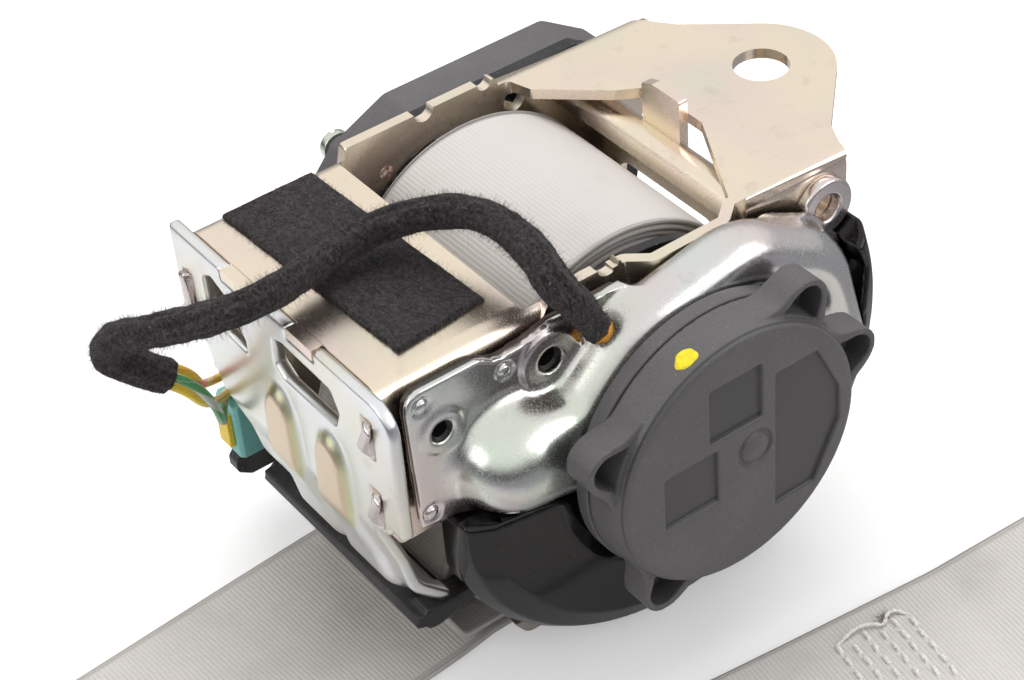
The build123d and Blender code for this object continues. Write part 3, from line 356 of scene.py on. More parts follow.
radius -= END_TAPER * np.exp(-(np.arange(CABLE_RINGS)[:, None] / TAPER_RINGS) ** 2)
wall = line[:, None, :] + ring * radius[:, :, None] * MM
covering = 1 - np.arange(COVER_RINGS) / COVER_RINGS
wall[:COVER_RINGS] -= tangent[0] * PLUG_COVER * MM * covering[:, None, None]
cable = piece_of("felt_cable", wall, tube_faces(CABLE_RINGS, CABLE_SIDES), felt, ["harness_cable"])

PLUG_STEPS = np.array([1.6, 1.6, -2.2, -2.2])
PLUG_RADII = np.array([0.0, 2.2, 2.5, 0.0])
orange, tree, skin = finish("orange_plastic", Roughness=0.4, Base_Color=(0.85, 0.36, 0.02, 1))
plug_line = line[0] + tangent[0] * PLUG_STEPS[:, None] * MM
plug_wall = plug_line[:, None, :] + ring[0] * PLUG_RADII[:, None, None] * MM
piece_of("igniter_plug", plug_wall, grid_faces(len(PLUG_STEPS), CABLE_SIDES, closed=True)[:, ::-1], orange,
         ["squib_plug"], smooth=False)


def fibres(name, roots, outward, along, lengths, material):
    """Loose fibres: each is a narrow ribbon of four quads that leaves its root outward and curls over."""
    count = len(roots)
    share = np.linspace(0, 1, 5)
    lean = rng.normal(size=(count, 3)) * 0.55 + along * rng.uniform(-1.2, 1.2, (count, 1))
    rise = outward[:, None, :] * share[None, :, None] + lean[:, None, :] * (share ** 2)[None, :, None] * 0.8
    middle = roots[:, None, :] + rise * lengths[:, None, None]
    flat = np.cross(outward, lean)
    flat /= np.linalg.norm(flat, axis=1)[:, None] + 1e-9
    half = flat[:, None, :] * (FIBRE_WIDTH * MM * (1.0 - 0.7 * share))[None, :, None]
    points = np.stack([middle - half, middle + half], axis=2).reshape(-1, 3)
    base = np.arange(count)[:, None] * 10 + np.arange(4)[None, :] * 2
    quads = np.stack([base, base + 1, base + 3, base + 2], axis=-1).reshape(-1, 4)
    return piece_of(name, points, quads, material)


ring_at = rng.integers(2, CABLE_RINGS - 2, FIBRE_COUNT)
side_at = rng.integers(0, CABLE_SIDES, FIBRE_COUNT)
fluff, tree, skin = finish("felt_fibre", Roughness=0.9)
pale = spread(tree, noise(tree, put(tree, "TexCoord").outputs["Object"], 500.0), 0.58, 0.66)
feed(skin, Base_Color=mixed(tree, pale, (0.020, 0.018, 0.018, 1), (0.24, 0.20, 0.16, 1)))
cable_fibres = fibres(
    "cable_fibres", wall[ring_at, side_at], ring[ring_at, side_at], tangent[ring_at],
    rng.uniform(0.2, 1.0, FIBRE_COUNT) ** 1.6 * FIBRE_REACH * MM, fluff)

# Three leads between the felt wrap and the connector
# Thin-wall copper leads in coloured insulation, held only at their two ends. The orange one has a yellow
# tracer, and the green one a grey tracer.
WIRE_THICKNESS = 1.7
WIRES = {
    "wire_yellow": (41.4, (0.80, 0.56, 0.03, 1), (0.86, 0.64, 0.05, 1), "yellow_wire", [
        (-17.55, -15.96, -20.2), (-16.5, -13.0, -22.6), (-18.4, -9.2, -29.4), (-23.6, -4.8, -35.2),
        (-29.6, 0.9, -40.6), (-34.2, 6.0, -42.6), (-34.9, 7.0, -46.45)]),
    "wire_orange": (43.7, (0.80, 0.52, 0.03, 1), (0.78, 0.10, 0.03, 1), "orange_wire", [
        (-18.52, -13.79, -17.93), (-17.4, -10.8, -20.3), (-20.4, -8.0, -26.8), (-26.0, -4.6, -32.2),
        (-31.6, 0.2, -37.6), (-34.9, 8.6, -40.6), (-34.9, 9.6, -46.45)]),
    "wire_green": (44.9, (0.04, 0.26, 0.08, 1), (0.40, 0.42, 0.40, 1), "green_wire", [
        (-15.42, -14.91, -17.93), (-14.3, -11.9, -20.3), (-14.6, -8.6, -27.2), (-19.4, -5.4, -37.4),
        (-27.4, -1.6, -42.4), (-34.4, 3.4, -42.8), (-34.9, 4.4, -46.45)]),
}
WIRE_RINGS = 90
WIRE_SIDES = 16
TRACER_TURNS = 2.2
TRACER_HALF = 0.17
for name, (length, colour, tracer, slot, route) in WIRES.items():
    line = line_along(name + "_line", route, WIRE_RINGS)
    tangent, turn, ring = rings_of(line, WIRE_SIDES)
    points = line[:, None, :] + ring * (WIRE_THICKNESS / 2 * MM)
    stripe = np.mod(turn / (2 * math.pi) + np.linspace(0, TRACER_TURNS, WIRE_RINGS)[:, None], 1.0)
    walked = np.broadcast_to(np.linspace(0, length * MM, WIRE_RINGS)[:, None], stripe.shape)
    material, tree, skin = finish(name + "_cover", Roughness=0.34, Coat_Weight=0.25, Coat_Roughness=0.25)
    band = put(tree, "SeparateXYZ", None, {0: put(tree, "UVMap", {"uv_map": "flat"}).outputs[0]}).outputs["X"]
    off_tracer = maths(tree, "ABSOLUTE", maths(tree, "SUBTRACT", band, 0.5))
    grime = noise(tree, put(tree, "TexCoord").outputs["Object"], 700.0)
    cover = mixed(tree, maths(tree, "LESS_THAN", off_tracer, TRACER_HALF), colour, tracer)
    feed(skin, Base_Color=mixed(tree, spread(tree, grime, 0.5, 0.8, 0.0, 0.35), cover, (0.25, 0.20, 0.12, 1)))
    relief(skin, grime, 0.00004)
    wire = piece_of("lead_" + name[5:], points, tube_faces(WIRE_RINGS, WIRE_SIDES), material, [name],
                    flat_map=np.stack([stripe, walked], axis=-1))

# Pressed steel frame
# A U-shaped bracket blanked and bent from 2.2 mm steel, zinc plated and yellow passivated, so that its
# faces drift between champagne, lilac and pale green. Its sheared edges take a pinker tint, which is not
# drawn here.
EDGE_ROUND = 0.22
SMOOTH_BELOW = 32.0
FRAME_PLATES = ("frame_bracket", "end_strip", "near_flange", "far_flange")
WELD_WITHIN = 0.004
TAB_CUT = -2.45
BEND_AT = 30.5
BEND_NEAR = 0.06
BEND_LONG = 2.0
BEND_ROUND = 4.0


def group_of(name, colours, values):
    """An empty finish with named inputs, and the outputs Color, Roughness and Height."""
    group = bpy.data.node_groups.new(name, "ShaderNodeTree")
    for socket in colours:
        group.interface.new_socket(socket, in_out="INPUT", socket_type="NodeSocketColor")
    for socket in values:
        group.interface.new_socket(socket, in_out="INPUT", socket_type="NodeSocketFloat")
    for socket, kind in (("Color", "Color"), ("Roughness", "Float"), ("Height", "Float")):
        group.interface.new_socket(socket, in_out="OUTPUT", socket_type="NodeSocket" + kind)
    where = put(group, "TexCoord").outputs["Object"]
    return group, where, group.nodes.new("NodeGroupInput").outputs, group.nodes.new("NodeGroupOutput")


def from_group(name, group, depth, values, **sockets):
    """A material whose colour, roughness and relief come from a node group with its own values."""
    material, tree, skin = finish(name, **sockets)
    pattern = tree.nodes.new("ShaderNodeGroup")
    pattern.node_tree = group
    for socket, value in values.items():
        pattern.inputs[socket].default_value = value
    feed(skin, Base_Color=pattern.outputs["Color"], Roughness=pattern.outputs["Roughness"])
    relief(skin, pattern.outputs["Height"], depth)
    return material


def tint_group():
    """Colour and polish of passivated zinc: slow drifts between three tints, streaks and fine scratches."""
    group, where, given, result = group_of(
        "zinc_tint", ("Base", "Warm", "Cool"), ("Drift", "Polish", "Grime"))
    slow = noise(group, where, 34.0, 2.0, 0.5)
    shifted = put(group, "Mapping", None, {"Vector": where, "Location": (0.31, 0.12, 0.57)}).outputs[0]
    second = noise(group, shifted, 55.0, 3.0, 0.5)
    stains = noise(group, shifted, 210.0, 5.0, 0.6)
    warm = maths(group, "MULTIPLY", spread(group, slow, 0.42, 0.66), given["Drift"])
    cool = maths(group, "MULTIPLY", spread(group, second, 0.46, 0.72), given["Drift"])
    colour = mixed(group, warm, given["Base"], given["Warm"])
    colour = mixed(group, cool, colour, given["Cool"])
    soil = maths(group, "MULTIPLY", spread(group, stains, 0.56, 0.74), given["Grime"])
    colour = mixed(group, soil, colour, (0.20, 0.16, 0.13, 1))
    drawn_out = {"Vector": where, "Scale": (1.0, 14.0, 14.0), "Rotation": (0, 0, 0.5)}
    lines = put(group, "Mapping", None, drawn_out).outputs[0]
    scratches = spread(group, noise(group, lines, 420.0, 2.0, 0.6), 0.60, 0.66)
    skin_grain = noise(group, where, 1500.0, 3.0, 0.6)
    rough = maths(group, "ADD", given["Polish"], maths(group, "MULTIPLY", second, 0.16))
    rough = maths(group, "ADD", rough, maths(group, "MULTIPLY", soil, 0.25))
    rough = maths(group, "ADD", rough, maths(group, "MULTIPLY", scratches, 0.05))
    height = maths(group, "SUBTRACT", skin_grain, maths(group, "MULTIPLY", scratches, 0.6))
    feed(result, Color=colour, Roughness=rough, Height=height)
    return group


zinc_tint = tint_group()


def plated(name, base, warm, cool, drift, polish, grime, depth=0.000012):
    """A metal finish from the zinc tint group."""
    values = {"Base": base, "Warm": warm, "Cool": cool, "Drift": drift, "Polish": polish, "Grime": grime}
    return from_group(name, zinc_tint, depth, values, Metallic=1.0)


def softened(piece, edge):
    """Rounds a piece's sharp edges by edge millimetres and smooths the shading between its flat faces."""
    if edge:
        bevel = piece.modifiers.new("edge", "BEVEL")
        bevel.width = edge * MM
        bevel.segments = 2
        bevel.limit_method = "ANGLE"
        bevel.angle_limit = math.radians(SMOOTH_BELOW)
        bevel.harden_normals = False
        bevel.miter_outer = "MITER_ARC"
    piece.modifiers.new("normals", "WEIGHTED_NORMAL").keep_sharp = False


def dress(material, *names, edge=EDGE_ROUND):
    """Gives CAD nodes a finish, merges their loose triangles and rounds their edges by edge millimetres."""
    for name in names:
        piece = nodes[name]
        for holder in piece.material_slots:
            holder.material = material
        weld = piece.modifiers.new("weld", "WELD")
        weld.merge_threshold = WELD_WITHIN * MM
        flat = piece.modifiers.new("flat", "DECIMATE")
        flat.decimate_type = "DISSOLVE"
        flat.angle_limit = math.radians(0.6)
        softened(piece, edge)


def cleaned(mesh):
    """Joins loose triangles into whole faces: merges equal points and dissolves edges inside flat faces."""
    shape = bmesh.new()
    shape.from_mesh(mesh)
    bmesh.ops.remove_doubles(shape, verts=shape.verts, dist=WELD_WITHIN * MM)
    bmesh.ops.dissolve_limit(shape, angle_limit=math.radians(0.5), verts=shape.verts, edges=shape.edges)
    shape.to_mesh(mesh)
    shape.free()


def united(name, parts):
    """One mesh that is the union of CAD nodes that meet face to face, with its long outer bends rounded, and
    cut off where the twisted tab ends start."""
    holders = []
    for part in parts:
        holder = bpy.data.objects.new(name + "_" + part, nodes[part].data.copy())
        holder.matrix_world = nodes[part].matrix_world
        cleaned(holder.data)
        scene.collection.objects.link(holder)
        holders.append(holder)
    whole = holders[0]
    for other in holders[1:]:
        join = whole.modifiers.new("join", "BOOLEAN")
        join.operation = "UNION"
        join.solver = "EXACT"
        join.object = other
    bpy.context.view_layer.update()
    mesh = bpy.data.meshes.new_from_object(whole.evaluated_get(bpy.context.evaluated_depsgraph_get()))
    mesh.transform(whole.matrix_world)
    for holder in holders:
        bpy.data.objects.remove(holder)
    shape = bmesh.new()
    shape.from_mesh(mesh)
    bends = []
    for edge in shape.edges:
        along = abs(edge.verts[0].co.y - edge.verts[1].co.y) / MM
        off = [max(abs(abs(vert.co.x / MM) - BEND_AT), abs(vert.co.z / MM)) for vert in edge.verts]
        if max(off) < BEND_NEAR and along > BEND_LONG:
            bends.append(edge)
    bmesh.ops.bevel(shape, geom=bends, offset=BEND_ROUND * MM, segments=8, profile=0.5, affect="EDGES")
    everything = shape.verts[:] + shape.edges[:] + shape.faces[:]
    cut = bmesh.ops.bisect_plane(shape, geom=everything, plane_co=placed((0, TAB_CUT, 0)),
                                 plane_no=(0, -1, 0), clear_outer=True)
    rim = [part for part in cut["geom_cut"] if isinstance(part, bmesh.types.BMEdge)]
    bmesh.ops.holes_fill(shape, edges=rim)
    shape.to_mesh(mesh)
    shape.free()
    cleaned(mesh)
    piece = bpy.data.objects.new(name, mesh)
    scene.collection.objects.link(piece)
    return piece


frame_zinc = plated("frame_zinc", (0.92, 0.81, 0.655, 1), (0.86, 0.70, 0.71, 1), (0.78, 0.80, 0.66, 1),
                    0.5, 0.19, 0.12, 0.000005)
pressed_frame = united("pressed_frame", FRAME_PLATES)
pressed_frame.data.materials.clear()
pressed_frame.data.materials.append(frame_zinc)
pressed_frame.data.polygons.foreach_set("use_smooth", [True] * len(pressed_frame.data.polygons))
softened(pressed_frame, 0.3)
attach(pressed_frame, "retractor_body")
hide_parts(*FRAME_PLATES)
dress(frame_zinc, "cross_plate")

# End plate
# A separate pressing, hooked over the frame's tabs: two finger-shaped ribs pressed outward, two windows whose
# drawn-in rims are shown only as rounded edges, and a tongue that curls in under the frame. Paler than the
# frame and yellower round its ribs.
FINE = 0.42
PLATE_STEEL = 2.5
PLATE_ROUTE = [(-1.25, 3.0), (-1.25, -32.0), (2.4, -42.5), (4.2, -50.5), (10.0, -56.4)]
PLATE_BENDS = [6.0, 12.0, 8.0]
PLATE_RIGHT = 36.7
PLATE_OUTLINE = [
    (-33.5, 0), (PLATE_RIGHT, 0), (PLATE_RIGHT, -28), (32.5, -28), (32, -30), (28, -31), (27.5, -33),
    (27.5, -70), (-22, -70), (-22, -34), (-27, -24), (-33.5, -22),
]
CORNER_ROUND = 5.5
WINDOW_ROUND = 0.4
CUT_ROUND = 0.9
RIB_RISE = 1.9
RIB_TOP = -24.6
RIB_ARCH = 0.62
RIB_LINES = ((0.0, 5.7, 7.6), (16.4, 5.8, 7.9))
RIB_LOW = -52.0
RIB_END = -57.5
RIB_RUN_OUT = 3.0
RIB_SLOPE = 2.5
TABLE_STEP = 0.1
FOOT_TINT = (0.70, 0.72, 0.46, 1)
CREST_TINT = (0.76, 0.63, 0.48, 1)
FOOT_FROM = -(EDGE_TO_HOLE + PLATE_STEEL + 0.15) * MM
CREST_FROM = -(EDGE_TO_HOLE + PLATE_STEEL + 0.9) * MM
CREST_TO = -(EDGE_TO_HOLE + PLATE_STEEL + 1.7) * MM
WINDOWS = (
    [(-22.8, -6.5), (-22.7, -11.4), (-20.6, -14.6), (-10.9, -15.5), (-10.9, -13.3), (-15.4, -6.7),
     (-20, -5.0)],
    [(0.8, -6.4), (3.4, -5.6), (18.0, -6.2), (19.7, -9.7), (18.4, -13.0), (2.8, -13.0), (0.5, -11.4)],
)
TAB_NOTCHES = ((-15.6, -7.9), (5.7, 13.9))
NOTCH_DEPTH = 2.3
TAB_SLOTS = ((-29.4, -12.5, 7.6), (29.4, -9.0, 8.1), (29.4, -25.2, 8.1))
SLOT_HALF = 1.3


def bent(points, radii, fine=0.5):
    """A line through 2-D points with each corner rounded to its own radius, as close points."""
    points = np.asarray(points, float)
    radii = np.broadcast_to(radii, len(points) - 2)
    line = [points[:1]]
    for before, corner, after, radius in zip(points[:-2], points[1:-1], points[2:], radii):
        back = (before - corner) / np.linalg.norm(before - corner)
        ahead = (after - corner) / np.linalg.norm(after - corner)
        half = math.acos(np.clip(back @ ahead, -1, 1)) / 2
        centre = corner + (back + ahead) / np.linalg.norm(back + ahead) * radius / math.sin(half)
        first = corner + back * radius / math.tan(half) - centre
        last = corner + ahead * radius / math.tan(half) - centre
        swing = math.pi - 2 * half
        share = np.linspace(0, 1, max(3, int(swing * radius / fine) + 2))[:, None]
        arc = (np.sin((1 - share) * swing) * first + np.sin(share * swing) * last) / math.sin(swing)
        line.append(centre + arc)
    line.append(points[-1:])
    return np.concatenate(line)


def to_line(y, z, line):
    """Distance in the plane from grid points to an open line."""
    nearest = np.full(np.broadcast(y, z).shape, np.inf)
    for (y0, z0), (y1, z1) in zip(line[:-1], line[1:]):
        run = (y1 - y0) ** 2 + (z1 - z0) ** 2
        share = np.clip(((y - y0) * (y1 - y0) + (z - z0) * (z1 - z0)) / run, 0, 1)
        nearest = np.minimum(nearest, np.hypot(y - y0 - share * (y1 - y0), z - z0 - share * (z1 - z0)))
    return nearest


def to_outline(y, z, corners):
    """Signed distance in the plane to a closed outline, less than zero inside."""
    loop = list(corners) + [corners[0]]
    inside = np.zeros(np.broadcast(y, z).shape, bool)
    for (y0, z0), (y1, z1) in zip(loop[:-1], loop[1:]):
        crosses = (z0 > z) != (z1 > z)
        inside ^= crosses & (y < (y1 - y0) * (z - z0) / ((z1 - z0) or 1e-9) + y0)
    return np.where(inside, -1.0, 1.0) * to_line(y, z, loop)


def melted(first, second, blend):
    """The union of two distance fields, with a hollow of radius about blend where they meet."""
    near = np.maximum(blend - np.abs(first - second), 0) / blend
    return np.minimum(first, second) - near * near * blend / 4


def skin_of(field, low, step):
    """Points and quads on the zero surface of a distance field. Each crossed cell has one point, at the mean
    of the places where the field changes sign on its edges, and each crossed grid edge has one quad."""
    cells = np.array(field.shape) - 1
    total = np.zeros((*cells, 3))
    hits = np.zeros(cells)
    for axis in range(3):
        for corner in range(4):
            start = [0, 0, 0]
            others = [other for other in range(3) if other != axis]
            start[others[0]] = corner & 1
            start[others[1]] = corner >> 1
            stop = list(start)
            stop[axis] = 1
            first = field[tuple(slice(begin, begin + size) for begin, size in zip(start, cells))]
            last = field[tuple(slice(begin, begin + size) for begin, size in zip(stop, cells))]
            crossed = (first < 0) != (last < 0)
            share = np.where(crossed, first / np.where(crossed, first - last, 1), 0)
            hits += crossed
            for other in range(3):
                total[..., other] += np.where(crossed, start[other] + (share if other == axis else 0), 0)
    used = hits > 0
    number = np.cumsum(used).reshape(used.shape) - 1
    base = np.stack(np.nonzero(used), axis=1)
    points = np.asarray(low) + (base + total[used] / hits[used][:, None]) * step
    quads = []
    for axis in range(3):
        one, two = [other for other in range(3) if other != axis]
        inner = [slice(1, -1)] * 3
        inner[axis] = slice(0, -1)
        ahead = list(inner)
        ahead[axis] = slice(1, None)
        first, last = field[tuple(inner)] < 0, field[tuple(ahead)] < 0
        place = np.stack(np.nonzero(first != last), axis=1)
        place[:, one] += 1
        place[:, two] += 1
        leaves = first[tuple((place - np.eye(3, dtype=int)[one] - np.eye(3, dtype=int)[two]).T)]
        ring = []
        for back_one, back_two in ((1, 1), (0, 1), (0, 0), (1, 0)):
            cell = place.copy()
            cell[:, one] -= back_one
            cell[:, two] -= back_two
            ring.append(number[tuple(cell.T)])
        ring = np.stack(ring, axis=1)
        flip = leaves if axis != 1 else ~leaves
        quads.append(np.where(flip[:, None], ring, ring[:, ::-1]))
    return points, np.concatenate(quads)


def between(place, low, high):
    """Signed distance to the layer from low to high."""
    return np.abs(place - (low + high) / 2) - (high - low) / 2


def box_field(y, z, y0, y1, z0, z1):
    """Signed distance, close to true near the sides, to a rectangle in the plane."""
    return np.maximum(between(y, y0, y1), between(z, z0, z1))


def eased(value):
    """Zero below 0, one above 1, and a smooth step between."""
    value = np.clip(value, 0, 1)
    return value * value * (3 - 2 * value)


def block(*spans):
    """Three axes of grid points in millimetres, each from (low, high, step), and their open grid."""
    axes = [np.arange(*span) for span in spans]
    return axes, *np.meshgrid(*axes, indexing="ij", sparse=True)


def skin_piece(name, field, axes, material, replaced=()):
    """A piece with the zero surface of a distance field on a block's axes."""
    points, quads = skin_of(field, [axis[0] for axis in axes], [axis[1] - axis[0] for axis in axes])
    return piece_of(name, placed(points), quads, material, replaced)


axes, x, y, z = block((-35.0, 38.6, FINE), (-6.6, 13.6, FINE), (-60.0, 1.8, FINE))
plan_x = x[:, 0, :]
plan_z = z[:, 0, :]
plate_line = bent(PLATE_ROUTE, PLATE_BENDS, 1.2)
table_y = np.arange(-12.0, 18.0, TABLE_STEP)
off_plate = to_line(table_y[:, None], axes[2][None, :], plate_line)
raised = np.zeros(np.broadcast(plan_x, plan_z).shape)
for middle, top_radius, low_radius in RIB_LINES:
    width = np.interp(plan_z, (RIB_LOW, RIB_TOP), (low_radius, top_radius))
    off_rib = np.hypot(plan_x - middle, np.maximum(plan_z - RIB_TOP, 0) * RIB_ARCH) - width
    rib = RIB_RISE * eased(-off_rib / RIB_SLOPE) * eased((plan_z - RIB_END) / RIB_RUN_OUT)
    raised = np.maximum(raised, rib)
cut = to_outline(plan_x, plan_z, PLATE_OUTLINE)
corner_x = plan_x - PLATE_RIGHT + CORNER_ROUND
corner_z = plan_z + CORNER_ROUND
round_corner = np.hypot(corner_x, corner_z) - CORNER_ROUND
cut = np.where((corner_x > 0) & (corner_z > 0), np.maximum(cut, round_corner), cut)
for outline in WINDOWS:
    cut = np.maximum(cut, WINDOW_ROUND - to_outline(plan_x, plan_z, outline))
for x0, x1 in TAB_NOTCHES:
    cut = np.maximum(cut, -box_field(plan_x, plan_z, x0, x1, -NOTCH_DEPTH, 5.0))
for slot_x, slot_z, slot_height in TAB_SLOTS:
    slot_low = slot_z - slot_height / 2
    slot = box_field(plan_x, plan_z, slot_x - SLOT_HALF, slot_x + SLOT_HALF, slot_low, slot_low + slot_height)
    cut = np.maximum(cut, -slot)
place = (y + raised[:, None, :] - table_y[0]) / TABLE_STEP
whole = np.clip(place.astype(int), 0, len(table_y) - 2)
share = place - whole
column = np.broadcast_to(np.arange(len(axes[2]))[None, None, :], place.shape)
field = off_plate[whole, column] * (1 - share) + off_plate[whole + 1, column] * share - PLATE_STEEL / 2
field = -melted(-field, -np.broadcast_to(cut[:, None, :], field.shape), CUT_ROUND)
field = np.maximum(field, z)
pale_zinc = plated("pale_zinc", (0.88, 0.90, 0.93, 1), (0.88, 0.83, 0.68, 1), (0.84, 0.88, 0.80, 1),
                   0.6, 0.24, 0.10)
tree = pale_zinc.node_tree
skin = tree.nodes["Principled BSDF"]
tint = skin.inputs["Base Color"].links[0].from_socket
out_of_face = put(tree, "SeparateXYZ", None, {0: put(tree, "TexCoord").outputs["Object"]}).outputs["Y"]
foot = spread(tree, out_of_face, FOOT_FROM, CREST_FROM)
crest = spread(tree, out_of_face, CREST_FROM, CREST_TO)
feed(skin, Base_Color=mixed(tree, crest, mixed(tree, foot, tint, FOOT_TINT), CREST_TINT))
skin_piece("end_pressing", field, axes, pale_zinc, ["end_plate"])

# Twisted tabs
# The ends of three frame tabs, twisted with a tool once they are through the end plate's slots, so that the
# plate cannot come off. The tool leaves them bright.
TAB_REACH = 1.1
TAB_TURN = math.radians(20.0)
TAB_HALF = (1.35, 3.6)
TAB_ROUND = 0.8
TAB_BOW = 0.5
TAB_FINE = 0.2
tab_bright = plated("tab_bright", (0.80, 0.79, 0.78, 1), (0.66, 0.56, 0.56, 1), (0.60, 0.62, 0.66, 1),
                    0.8, 0.16, 0.35, 0.00004)
for number, (tab_x, tab_z, _) in enumerate(TAB_SLOTS):
    axes, x, y, z = block((tab_x - 4.6, tab_x + 4.6, TAB_FINE),
                          (-PLATE_STEEL - TAB_REACH - 0.6, -1.2, TAB_FINE),
                          (tab_z - 5.0, tab_z + 5.0, TAB_FINE))
    twist = math.copysign(TAB_TURN, tab_x) * eased((-PLATE_STEEL + 0.5 - y) / 1.6)
    turned_x = (x - tab_x) * np.cos(twist) - (z - tab_z) * np.sin(twist)
    turned_z = (x - tab_x) * np.sin(twist) + (z - tab_z) * np.cos(twist)
    bow = TAB_BOW * np.sin(turned_z / TAB_HALF[1] * 2.2) * eased((-PLATE_STEEL - y) / 1.5)
    sides = np.maximum(np.abs(turned_x - bow) - TAB_HALF[0] + TAB_ROUND, 0)
    tops = np.maximum(np.abs(turned_z) - TAB_HALF[1] + TAB_ROUND, 0)
    reach = np.maximum(-PLATE_STEEL - TAB_REACH + TAB_ROUND - y, 0)
    field = np.maximum(np.sqrt(sides ** 2 + tops ** 2 + reach ** 2) - TAB_ROUND, y + 1.4)
    skin_piece("twisted_tab_%d" % number, field, axes, tab_bright)

# Felt pad
# Black needled felt that is glued on the end strip to keep the cable from rattling. Its knife-cut sides are a
# little ragged, and fluff stands off it.
PAD_CORNERS = [(-28.0, 5.8), (24.2, 8.4), (22.5, 27.4), (-28.0, 25.2)]
PAD_THICK = 1.2
PAD_ROWS = 150
PAD_COLUMNS = 360
PAD_FIBRES = 5200
PAD_WIDE = 51.0
PAD_DEEP = 19.0
PAD_SKIN = 0.02
PAD_SUNK = 0.10
FRAY = 0.10
TUFT_HEIGHT = 0.07
ROUND_OVER = 0.55
corners = np.array(PAD_CORNERS)
across_share, down_share = np.meshgrid(np.linspace(0, 1, PAD_COLUMNS), np.linspace(0, 1, PAD_ROWS))
near_edge = corners[0] + (corners[1] - corners[0]) * across_share[..., None]
far_edge = corners[3] + (corners[2] - corners[3]) * across_share[..., None]
plan = near_edge + (far_edge - near_edge) * down_share[..., None]
off_side = 2 * across_share - 1
off_end = 2 * down_share - 1
plan[..., 1] += FRAY * wavy(PAD_COLUMNS, 90, 31)[None, :] * np.abs(off_end) ** 8 * np.sign(off_end)
plan[..., 0] += FRAY * wavy(PAD_ROWS, 60, 32)[:, None] * np.abs(off_side) ** 16 * np.sign(off_side)
edge_off = np.minimum((1 - np.abs(off_side)) / 2 * PAD_WIDE, (1 - np.abs(off_end)) / 2 * PAD_DEEP)
swell = np.clip(edge_off / ROUND_OVER, 0, 1)
tufts = sum(np.outer(wavy(PAD_ROWS, 70, 40 + k), wavy(PAD_COLUMNS, 150, 50 + k)) for k in range(6))
top = PAD_THICK * np.sqrt(1 - (1 - swell) ** 2) - PAD_SUNK + TUFT_HEIGHT * tufts * swell
top = np.where(edge_off <= 0, PAD_SKIN, np.clip(top, PAD_SKIN, PAD_THICK + PAD_SUNK))
pad_points = placed(np.concatenate([plan, top[..., None]], axis=-1)).reshape(-1, 3)
piece_of("felt_mat", pad_points, grid_faces(PAD_ROWS, PAD_COLUMNS), felt, ["felt_pad"])
root_at = rng.integers(0, PAD_ROWS * PAD_COLUMNS, PAD_FIBRES)
border = rng.random(PAD_FIBRES) < 0.35
border_row = rng.choice([0, PAD_ROWS - 1], PAD_FIBRES) * PAD_COLUMNS
border_at = border_row + rng.integers(0, PAD_COLUMNS, PAD_FIBRES)
root_at = np.where(border, border_at, root_at)
outward = np.tile([0.0, 0.0, 1.0], (PAD_FIBRES, 1)) + rng.normal(size=(PAD_FIBRES, 3)) * 0.5
outward[:, 2] = np.abs(outward[:, 2])
outward /= np.linalg.norm(outward, axis=1)[:, None]
sideways = rng.normal(size=(PAD_FIBRES, 3))
sideways[:, 2] = 0
fibres("pad_fibres", pad_points[root_at], outward, sideways, rng.uniform(0.2, 0.9, PAD_FIBRES) * MM, fluff)

# Guide bar, web guide and bearing ring
# The bar under the belt slot is bent strip steel. The ring in the slot, which the belt slides on, and the
# spool's bearing ring are moulded in black plastic.
PLASTIC_BLACK = (0.010, 0.010, 0.011, 1)


def grain_group():
    """Moulded plastic: spark-eroded grain, slow patches of gloss and a little pale dust."""
    group, where, given, result = group_of("moulded_grain", ("Base",), ("Dust", "Gloss", "Grain"))
    grain = noise(group, where, given["Grain"], 2.0, 0.5)
    patches = noise(group, where, 60.0, 3.0, 0.5)
    specks = spread(group, noise(group, where, 1900.0, 1.0, 0.4), 0.70, 0.75)
    dust = maths(group, "MAXIMUM", specks, spread(group, patches, 0.45, 0.8, 0.0, 0.35))
    colour = mixed(group, maths(group, "MULTIPLY", dust, given["Dust"]), given["Base"], (0.42, 0.40, 0.38, 1))
    shade = spread(group, grain, 0.3, 0.7, 0.92, 1.08)
    shaded = put(group, "Mix", {"data_type": "RGBA", "blend_type": "MULTIPLY"}, {0: 1.0, 6: colour, 7: shade})
    rough = maths(group, "ADD", given["Gloss"], maths(group, "MULTIPLY", patches, 0.14))
    feed(result, Color=shaded.outputs[2], Roughness=rough, Height=grain)
    return group


moulded_grain = grain_group()


def moulded(name, base, gloss, dust=0.25, grain=1800.0, depth=0.00005, **sockets):
    """A plastic finish from the moulded grain group."""
    values = {"Base": base, "Dust": dust, "Gloss": gloss, "Grain": grain}
    return from_group(name, moulded_grain, depth, values, **sockets)


satin_black = moulded("satin_black", PLASTIC_BLACK, 0.34)
bar_zinc = plated("bar_zinc", (0.52, 0.50, 0.46, 1), (0.50, 0.42, 0.40, 1), (0.44, 0.48, 0.42, 1),
                  0.6, 0.30, 0.4)
dress(bar_zinc, "guide_bar")
dress(satin_black, "bearing_plate", "mechanism_base", "sensor_housing")
GUIDE_PROFILE = [(2.9, -59.6), (3.2, -57.5), (7.4, -56.9), (12.0, -57.5), (11.6, -60.0), (7.0, -61.2)]
GUIDE_ENDS = [(5.2, -61.2), (15.4, -61.2), (15.6, -56.4), (5.2, -56.4)]
GUIDE_FROM = -24.0
GUIDE_TO = 28.2
GUIDE_SLOT = 23.5
GUIDE_FINE = 0.35
axes, x, y, z = block((-25.4, 29.6, 0.4), (1.6, 17.4, GUIDE_FINE), (-63.0, -55.0, GUIDE_FINE))
lip = np.maximum(to_outline(y, z, GUIDE_PROFILE), between(x, GUIDE_FROM, GUIDE_TO))
beside_slot = np.minimum(between(x, GUIDE_SLOT, GUIDE_TO), between(x, GUIDE_FROM, -GUIDE_SLOT))
